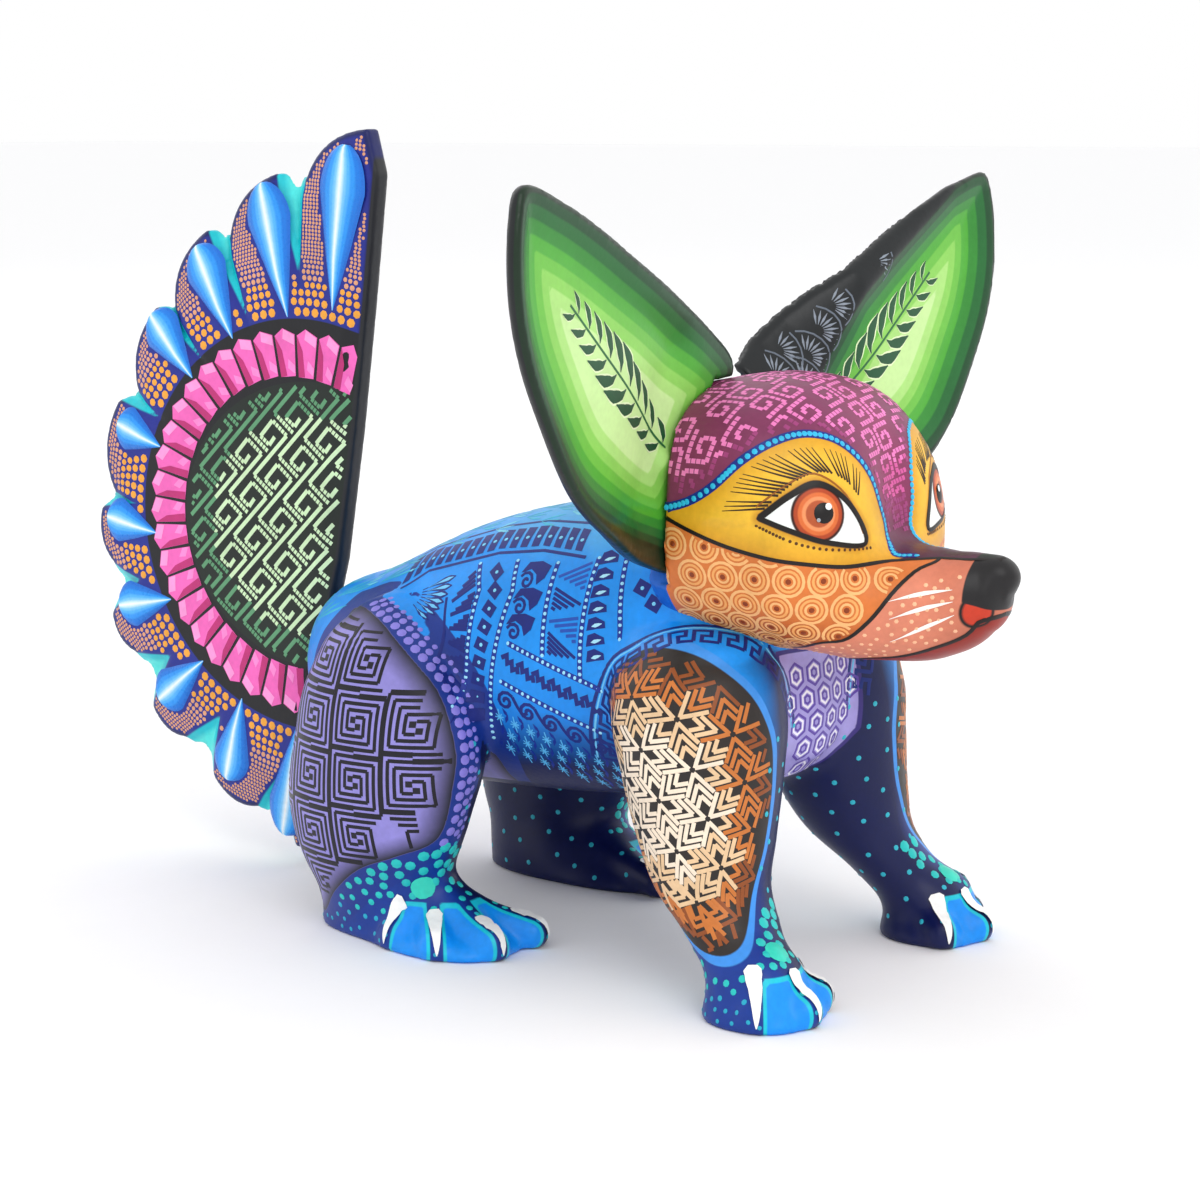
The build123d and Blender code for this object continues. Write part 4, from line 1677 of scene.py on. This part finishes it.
NAVY, INK, PALE, CYAN = "0C2C92", "0A2078", "6CC4F4", "7FD8FA"
SEAMS = (       # lines down the flank, from the top: y, z
    ((-4.9, 92), (-9, 76)), ((-12, 101), (-15.6, 95), (-15.6, 66)), ((-24.7, 103), (-26.8, 96), (-21, 56.5)),
    ((-38, 103.7), (-39.4, 81)), ((-50.3, 106), (-50.6, 75.5)), ((-58, 109), (-62, 87.3)),
)
SASHES = (((-28.6, 83), (-57, 73.5)), ((-26.5, 72.8), (-54, 61.7)))     # slanting dotted lines
RIDGE = ((14, 92), (7, 97), (-16.9, 104), (-31.6, 106), (-46, 105.7))   # lower edge of the row of boxes
RIDGE_TOP = ((20, 98), (13, 101.5), (-12, 109.5), (-26, 112.2), (-41, 113))
HIP_FAN = (9, 91)           # where the feathers over the hip spring from
WAVE = (                    # outlines of single motifs about their middles
    (-4.4, 2.6), (-1.0, 3.4), (3.0, 2.8), (4.4, 0.2), (3.6, 0.4), (1.6, 1.3), (-0.6, 0.2),
    (-1.6, -2.2), (-3.6, -0.4),
)
HOOK = ((-3.9, 2.1), (-1.2, 2.9), (-0.9, 0.6), (1.4, 1.2), (1.6, -1.2), (4.2, -0.6), (4.4, -2.2))
DROP = ((2.8, -1.6), (2.6, 1.3), (0.6, 2.1), (-2.2, 1.2), (-2.6, -0.4), (0, -0.9))
CURL_TAIL = ((-2.3, 1.4), (-3.4, -1.2), (-4.6, -3.4), (-6.2, -2.6))


def column(k, s, t):
    """A place between two seams: s across from seam k to the next, t down them."""
    return measured(SEAMS[k], t) * (1 - s) + measured(SEAMS[k + 1], t) * s


def box(strokes, chart, middle, half, turn, code, light=None):
    """A small filled box, with a dot of light in it."""
    corners = ((-half[0], -half[1]), (half[0], -half[1]), (half[0], half[1]), (-half[0], half[1]))
    strokes.patch(chart, turned_path(corners, turn, 1, middle), code, step=2.5)
    if light:
        strokes.dot(chart(*middle), 0.55, light, sides=6, extra=0.03)


def dotted(strokes, chart, path):
    """A dark line with pale dots along it."""
    strokes.line(chart, path, 1.5, NAVY, step=3)
    strokes.chain(chart, path, 1.75, 0.52, "9CE0FC", extra=0.03)


def ridge_row(strokes, chart):
    """The row of slanting boxes under the back."""
    for edge in (RIDGE, RIDGE_TOP):
        strokes.line(chart, edge, 1.0, INK, step=2)
    for t in np.linspace(0.02, 0.97, 17):
        low, high = measured(RIDGE, t), measured(RIDGE_TOP, t)
        lean = (low - high) * 0.34
        step = measured(RIDGE, min(1, t + 0.01)) - measured(RIDGE, t - 0.01)
        step *= 1.25 / np.linalg.norm(step)
        middle = (low + high) / 2
        corners = [middle + lean - step * 1.5, middle + lean + step * 0.4,
                   middle - lean + step * 2.4, middle - lean]
        strokes.patch(chart, corners, INK, step=2)
        strokes.dot(chart(*(middle + step * 0.3)), 0.6, CYAN, sides=7, extra=0.03)


def hip_fan(strokes, chart):
    """Feathers spread over the hip."""
    foot = np.array(HIP_FAN)
    for k, turn in enumerate(np.linspace(24, -26, 7)):
        way = np.array((-math.cos(math.radians(turn)), math.sin(math.radians(turn))))
        reach = 15.5 - 0.7 * k
        strokes.line(chart, [foot + way * 4, foot + way * reach], taper(2.3, 0.75), INK, step=2)
        vein = [foot + way * 6, foot + way * (reach - 0.8)]
        strokes.line(chart, vein, taper(1.15, 0.78), PALE, step=2, extra=0.05)


def stepped_triangles(strokes, chart):
    """Triangles with a stepped side, one under another."""
    rows = 6
    for row in range(rows):
        for k in range(4):
            t = (row + 0.2 + 0.2 * k) / rows
            strokes.line(chart, [column(0, 0.68 - 0.16 * k, t), column(0, 0.9, t)], 1.15, INK, step=4)


def boxes_column(strokes, chart):
    """A column of boxes that turn as they go down."""
    for t in np.linspace(0.06, 0.95, 9):
        box(strokes, chart, column(1, 0.5, t), (2.0, 1.55), 34 - 30 * t, INK, CYAN)


def curling_waves(strokes, chart):
    """Waves whose crests curl over."""
    for t in (0.1, 0.3, 0.5):
        middle = column(2, 0.5, t * 0.92)
        strokes.patch(chart, [middle + p for p in WAVE], INK, step=2.5)
        curl = turned_path(spiral(1.4, 2.3, 0.4, 1), 0, 1, middle + (1.9, -1.6))
        strokes.line(chart, curl, 0.85, INK, step=2)


def hatched_zigzag(strokes, chart):
    """Hatched teeth from one side and the other."""
    teeth = 4
    for k in range(teeth):
        left, right = (0.14, 0.88) if k % 2 else (0.88, 0.14)
        t0, t1 = (k + 0.15) / (teeth + 0.4), (k + 1.15) / (teeth + 0.4)
        for f in np.linspace(0, 0.86, 5):
            low = column(3, left, t0 + (t1 - t0) * f)
            high = column(3, left + (right - left) * (1 - f), t0 + (t1 - t0) * (0.5 + 0.5 * f))
            strokes.line(chart, [low, high], 0.85, INK if k % 2 else "1C50B4", step=3)


def drops_column(strokes, chart):
    """A column of drops, each with a shine."""
    for t in np.linspace(0.05, 0.94, 7):
        middle = column(4, 0.42, t)
        strokes.patch(chart, [middle + p for p in DROP], INK, step=2)
        shine = [middle + (1.4, -0.4), middle + (-1.5, 0.6)]
        strokes.line(chart, shine, taper(1.0, 0.4), "A8E4FA", step=1.5, extra=0.05)


def low_patterns(strokes, chart):
    """Stepped hooks between the slanting lines, running spirals and pale stars under them."""
    for t in np.linspace(0.06, 0.9, 6):
        middle = (measured(SASHES[0], t) + measured(SASHES[1], t)) / 2
        strokes.line(chart, [middle + (-p[0] * 0.62, p[1] * 0.9) for p in HOOK], 1.25, INK, step=3)
    foot, end = np.array(SASHES[1], float)
    for t in np.linspace(0.06, 0.98, 5):
        middle = foot + (end - foot) * t + (0.8, -4.6)
        curl = turned_path(spiral(1.5, 2.7, 2.6, -1), 0, 1, middle)
        strokes.line(chart, curl, 0.95, INK, step=2)
        strokes.line(chart, [middle + p for p in CURL_TAIL], 1.0, INK, step=2)
    for row in range(3):
        for t in np.linspace(-0.02, 1.06, 8):
            middle = foot + (end - foot) * (t + 0.07 * (row % 2)) + (1.5, -10.2 - 4.6 * row)
            for turn in (0, 45, 90, 135):
                reach = 2.3 if turn == 90 else 1.3
                ray = turned_path([(-reach, 0), (reach, 0)], turn, 1, middle)
                strokes.line(chart, ray, 0.36, "58B8F0", step=3)
            for hand in (-1, 1):
                leaf = [middle + (1.5 * hand, 2.6), middle + (2.7 * hand, 0.2)]
                strokes.line(chart, leaf, taper(1.1), NAVY, step=2)


FLANK_WORK = (
    ridge_row, hip_fan, stepped_triangles, boxes_column, curling_waves, hatched_zigzag, drops_column,
    low_patterns,
)


def flank_paint(side_name, side):
    """The patterns of a flank, between dotted seams."""
    strokes = Strokes(f"body_flank_{side_name}", on_body, "body", "painted_body_blue")
    chart = flank(side)
    strokes.line(chart, SEAMS[0], 0.9, INK, step=3)
    for path in SEAMS[1:] + SASHES:
        dotted(strokes, chart, path)
    for work in FLANK_WORK:
        work(strokes, chart)
    for middle, turn in (((-65.5, 100), 20), ((-69.5, 96.5), 24)):
        box(strokes, chart, middle, (2.0, 1.7), turn, INK, CYAN)
    strokes.done()


KEY_ROUTE = (       # outer line of the stepped border over a shoulder: x, y, z
    (30, -51, 53), (34, -53, 61), (36, -55.4, 69), (37.2, -58.6, 76), (38, -63, 83), (39.5, -70.5, 87.4),
    (35, -79.7, 91.5), (28.8, -90.4, 91.2), (21, -97.3, 84.9), (16.5, -99.4, 75.4), (14.5, -99, 64.5),
)
SHOULDER_PITCH = 6.4
SHOULDER_KEY = (            # one step of the border: along, in from the outer line
    (0, 5.8), (0, 1.0), (4.3, 1.0), (4.3, 3.4), (2.1, 3.4), (2.1, 5.8), (SHOULDER_PITCH, 5.8),
)


def shoulder_paint(side_name, side):
    """The key border over a shoulder."""
    strokes = Strokes(f"body_border_{side_name}", on_body, "body", "painted_body_blue")
    near = mirrored_near(side)
    route = np.array(along(smooth_outline(KEY_ROUTE, 3), 0.6))
    gone = lengths_to(route)
    middle = np.array((44, -84, 58))

    def spot(s, h):
        p = np.array([np.interp(s, gone, route[:, i]) for i in range(3)])
        q = np.array([np.interp(s + 0.6, gone, route[:, i]) for i in range(3)])
        place, normal = near(*p)
        ahead = (q - p) * (side, 1, 1)
        inward = np.cross(normal, ahead)
        inward /= max(np.linalg.norm(inward), 1e-6)
        if inward @ (middle * (side, 1, 1) - place) < 0:
            inward = -inward
        return near(*((place + inward * h) * (side, 1, 1)))
    for k in range(int(gone[-1] / SHOULDER_PITCH)):
        path = [(k * SHOULDER_PITCH + s, h) for s, h in SHOULDER_KEY]
        strokes.line(spot, path, 1.05, "0A2478", step=2)
    strokes.line(spot, ((0, -1.6), (gone[-1] - 1, -1.6)), 1.1, "0A2478", step=2.5)
    strokes.line(spot, ((0, -0.4), (gone[-1] - 1, -0.4)), 0.6, PALE, step=2.5)
    strokes.done()


STAR_TURN = 17      # lean of the star pattern on a foreleg's panel, degrees
STAR_PITCH = 12.4
STAR_TINTS = ((0.45, "F4E2CC"), (0.68, "E6C298"), (0.86, "C87434"), (math.inf, "8E4A20"))


def foreleg_paint(side_name, side):
    """Six-pointed stars of nested arrowheads, paler in the middle of the panel."""
    strokes = Strokes(f"foreleg_stars_{side_name}", on_body, "body", "painted_foreleg")
    chart = foreleg(side)
    arm = STAR_PITCH / math.sqrt(3)

    def inside(u, v):
        return panel_reach(u, v, PANEL_BACK if u > 0 else PANEL_FRONT) < 0.98
    across = turned_path([(STAR_PITCH, 0), (STAR_PITCH / 2, STAR_PITCH * math.sqrt(3) / 2)], STAR_TURN)
    for j in range(-5, 6):
        for i in range(-5, 6):
            star = np.array((0, PANEL_HEIGHT)) + i * across[0] + j * across[1]
            for turn in (0, 120, 240):
                way = turned_path([(1, 0)], STAR_TURN + turn)[0]
                for t in (0.06, 0.29, 0.52):
                    apex = star + way * STAR_PITCH * t
                    reach = panel_reach(*apex, PANEL_FRONT)
                    code = next(code for limit, code in STAR_TINTS if reach < limit)
                    for bend in (-30, 30):
                        limb = turned_path([(1, 0)], STAR_TURN + turn + bend)[0]
                        end = apex + arm * (1 - t) * 0.95 * limb
                        if inside(*apex) and inside(*end):
                            strokes.line(chart, [apex, end], 1.05, code, step=2.4)
    strokes.done()


def haunch_paint(side_name, side):
    """Nested squares on a haunch, their halves out of step."""
    strokes = Strokes(f"haunch_squares_{side_name}", on_body, "body", "painted_hindleg")
    chart = flank(side)
    edge = smooth_outline(HAUNCH, 4)
    edge_map = Relief(lambda u, v: outline_distance(u, v, edge), (-24, -2), (48, 96), 1.0)
    for j in range(-1, 6):
        for i in range(-1, 5):
            middle = np.array((-10 + 16.4 * i, 14.5 + 15.5 * j))
            for half in (2.5, 4.2, 5.9, 7.5):
                for hand in (-1, 1):
                    corners = ((0, half), (half * 1.06 * hand, half), (half * 1.06 * hand, -half), (0, -half))
                    path = [middle + (a, b + 0.84 * hand) for a, b in corners]
                    for p, q in zip(path, path[1:]):
                        seen = chart(*p), chart(*q)
                        if None in seen or min(abs(seen[0][1][0]), abs(seen[1][1][0])) < 0.32:
                            continue
                        if edge_map(np.array([p[0], q[0]]), np.array([p[1], q[1]])).max() < -0.6:
                            strokes.line(chart, [p, q], 1.0, "15131E", step=2.6)
            if edge_map(middle[:1], middle[1:])[0] < -2.5:
                for hand in (-1, 1):
                    box(strokes, chart, middle + (0.85 * hand, 0.85 * hand), (0.82, 0.82), 0, "1A1824")
    strokes.done()


BIB_RINGS = ((3.2, 0.7, "5A3FA4"), (2.1, 0.6, "F0ECFA"), (1.1, 0.6, "5A3FA4"))    # radius, width
BIB_CORNERS = np.arange(6) * math.pi / 3 + math.pi / 6


def bib_paint():
    """Nested hexagons on the chest."""
    strokes = Strokes("body_bib", on_body, "body", "painted_body_blue")
    edge = np.array(BIB, float)
    for j in range(9):
        for i in range(-4, 5):
            middle = np.array(((i + 0.5 * (j % 2)) * 7.4, 46 + j * 6.4))
            if outline_distance(middle[:1], middle[1:], edge)[0] > -1.6:
                continue
            for radius, width, code in BIB_RINGS:
                hexagon = [middle + radius * np.array((math.cos(a), math.sin(a))) for a in BIB_CORNERS]
                strokes.line(chest, hexagon, width, code, closed=True, step=1.8)
    strokes.done()


CLAW = ((-9.5, 13), (-5.5, 11), (-2, 8), (0, 4.5), (0.4, 2))    # beyond a toe's tip, height


def claw_width(t):
    """Broad at the root, narrowing to a point."""
    return 4.4 * min(1, 0.5 + 8 * t) * (1 - t) ** 0.75 + 0.2


def band_dots(strokes, side):
    """Rows of dots that follow the edge of a haunch's panel."""
    route = along(smooth_outline(HAUNCH[1:9], 5), 0.5)
    chart = flank(side)
    found = [chart(*p) for p in route]
    for offset, radius, spacing in ((2.4, 1.35, 3.1), (5.0, 1.1, 2.8), (7.3, 0.8, 2.4)):
        last = None
        for (place, normal), (ahead, _) in zip(found, found[1:]):
            tangent = ahead - place
            if np.linalg.norm(tangent) < 1e-3:
                continue
            outwards = np.cross(normal, tangent)
            outwards /= np.linalg.norm(outwards)
            if outwards @ (np.array((side * 60, 10, 48)) - place) > 0:
                outwards = -outwards
            spot = on_body.near(place + outwards * offset)
            if spot[0][2] > 28 and (last is None or np.linalg.norm(spot[0] - last) > spacing):
                strokes.dot(spot, radius, "8A80DC", sides=9)
                last = spot[0]


def limb_dots():
    """Dots over the feet, the bands round the haunches and the insides of the legs."""
    px, py, pz = points_of(body).T
    names = ("web", "haunch", "panel", "leg", "inner")
    web, band, plate, on_limb, inner = (given(body, name) for name in names)
    strokes = Strokes("body_dots", on_body, "body", "painted_body_blue")
    for _, side in SIDES:
        band_dots(strokes, side)
    ankle = (band > 1.6) & (pz < 28) & (pz > 1.5) & (web > 1.8) & (py > -60) & (inner > -0.2)
    for spot in scatter(body, ankle, 2.9, 12):
        high = spot[0][2]
        strokes.dot(spot, 0.62 + 0.045 * max(0, high - 4), "22C4C0" if high > 9 else "1FA8C8")
    paw = (plate > 3.2) & (pz < 26) & (pz > 1.5) & (web > 1.6) & (py < -60)
    paw &= (on_limb < 1) & (inner > -0.3)
    for spot in scatter(body, paw, 2.9, 13):
        high = spot[0][2]
        strokes.dot(spot, 0.58 + 0.05 * max(0, high - 4), "22C4C0" if high > 8 else "1FA8C8")
    inside = (on_limb < 0.5) & (inner < 0.1) & (pz < 66) & (pz > 3) & (web > 1.6) & (np.abs(px) > 12)
    for spot in scatter(body, inside, 6.2, 14):
        strokes.dot(spot, 0.75, "2CB6CC", sides=7)
    for _, side in SIDES:
        for ankle_y, ankle_z in ((-115, 18), (-4, 17)):
            strokes.dot(on_body.near((side * 44, ankle_y, ankle_z)), 3.3, "34D8C0", sides=14, extra=0.1)
        for tips, root in TOE_SETS:
            for tip in tips:
                way = np.array(tip, float) - root[:2]
                way /= np.linalg.norm(way)
                claw = [(*(np.array(tip) + way * beyond), high) for beyond, high in CLAW]
                strokes.line(mirrored_near(side), claw, claw_width, "FBFBF8", step=1.2, extra=0.3)
    strokes.done()


def back_paint():
    """Pale feathery strokes along the top of the back."""
    strokes = Strokes("body_back", on_body, "body", "painted_body_blue")

    def top(u, v):
        return on_body.cast((u, v, 160), (0, 0, -1))
    for row, v in enumerate(np.arange(-58, 34, 7.5)):
        for u in np.arange(-16 + 4 * (row % 2), 17, 8):
            for hand in (-1, 0, 1):
                feather = [(u, v + 5), (u + 1.6 * hand, v + 2), (u + 2.6 * hand, v - 1.4)]
                strokes.line(top, feather, taper(1.2, 0.6), "2FB4D8" if row % 3 else "6FCFEA", step=2)

    def rear(u, w):
        return on_body.cast((u, 120, w), (0, -1, 0))
    for row, w in enumerate(np.arange(56, 96, 6.5)):
        for u in np.arange(-20 + 4 * (row % 2), 21, 8):
            for hand in (-1, 0, 1):
                feather = [(u, w - 4), (u + 1.6 * hand, w - 1), (u + 2.6 * hand, w + 2)]
                if abs(u) > 4 and all(rear(*p) is not None for p in feather):
                    strokes.line(rear, feather, taper(1.2, 0.6), "2FB4D8", step=2)
    strokes.done()


for side_name, side in SIDES:
    flank_paint(side_name, side)
    shoulder_paint(side_name, side)
    foreleg_paint(side_name, side)
    haunch_paint(side_name, side)
bib_paint()
limb_dots()
back_paint()


# ---------------------------------------------------------------- stage

FLOOR_HALF = 20         # metres, so that its edge is out of sight
LAMPS = (               # name, place and size in metres, power
    ("key", (-1.2, -1.6, 1.8), 1.5, 15),
    ("fill", (1.8, -1.2, 1.2), 2.0, 5),
    ("back", (0.2, 2.0, 1.6), 2.0, 8),
)
LAMP_TARGET = Vector((0, 0, 0.1))

floor_corners = [(a * FLOOR_HALF, b * FLOOR_HALF, 0) for a, b in ((-1, -1), (1, -1), (1, 1), (-1, 1))]
floor_mesh = bpy.data.meshes.new("floor")
floor_mesh.from_pydata(floor_corners, [], [(0, 1, 2, 3)])
floor = bpy.data.objects.new("floor", floor_mesh)
bpy.context.collection.objects.link(floor)
floor_paint = Coat("studio_floor", "FCFCFD", roughness=0.75, varnish=0.0)
floor.data.materials.append(floor_paint.done(uneven=0.01, relief=0.02))

for name, place, size, power in LAMPS:
    light = bpy.data.lights.new(name, "AREA")
    light.size = size
    light.energy = power
    lamp = bpy.data.objects.new(name, light)
    lamp.location = place
    lamp.rotation_euler = (LAMP_TARGET - Vector(place)).to_track_quat("-Z", "Y").to_euler()
    bpy.context.collection.objects.link(lamp)

world = bpy.data.worlds.new("studio")
world.use_nodes = True
background = world.node_tree.nodes["Background"]
background.inputs["Color"].default_value = (1.0, 1.0, 1.0, 1)
background.inputs["Strength"].default_value = 1.0
bpy.context.scene.world = world
bpy.context.scene.view_settings.view_transform = "Standard"
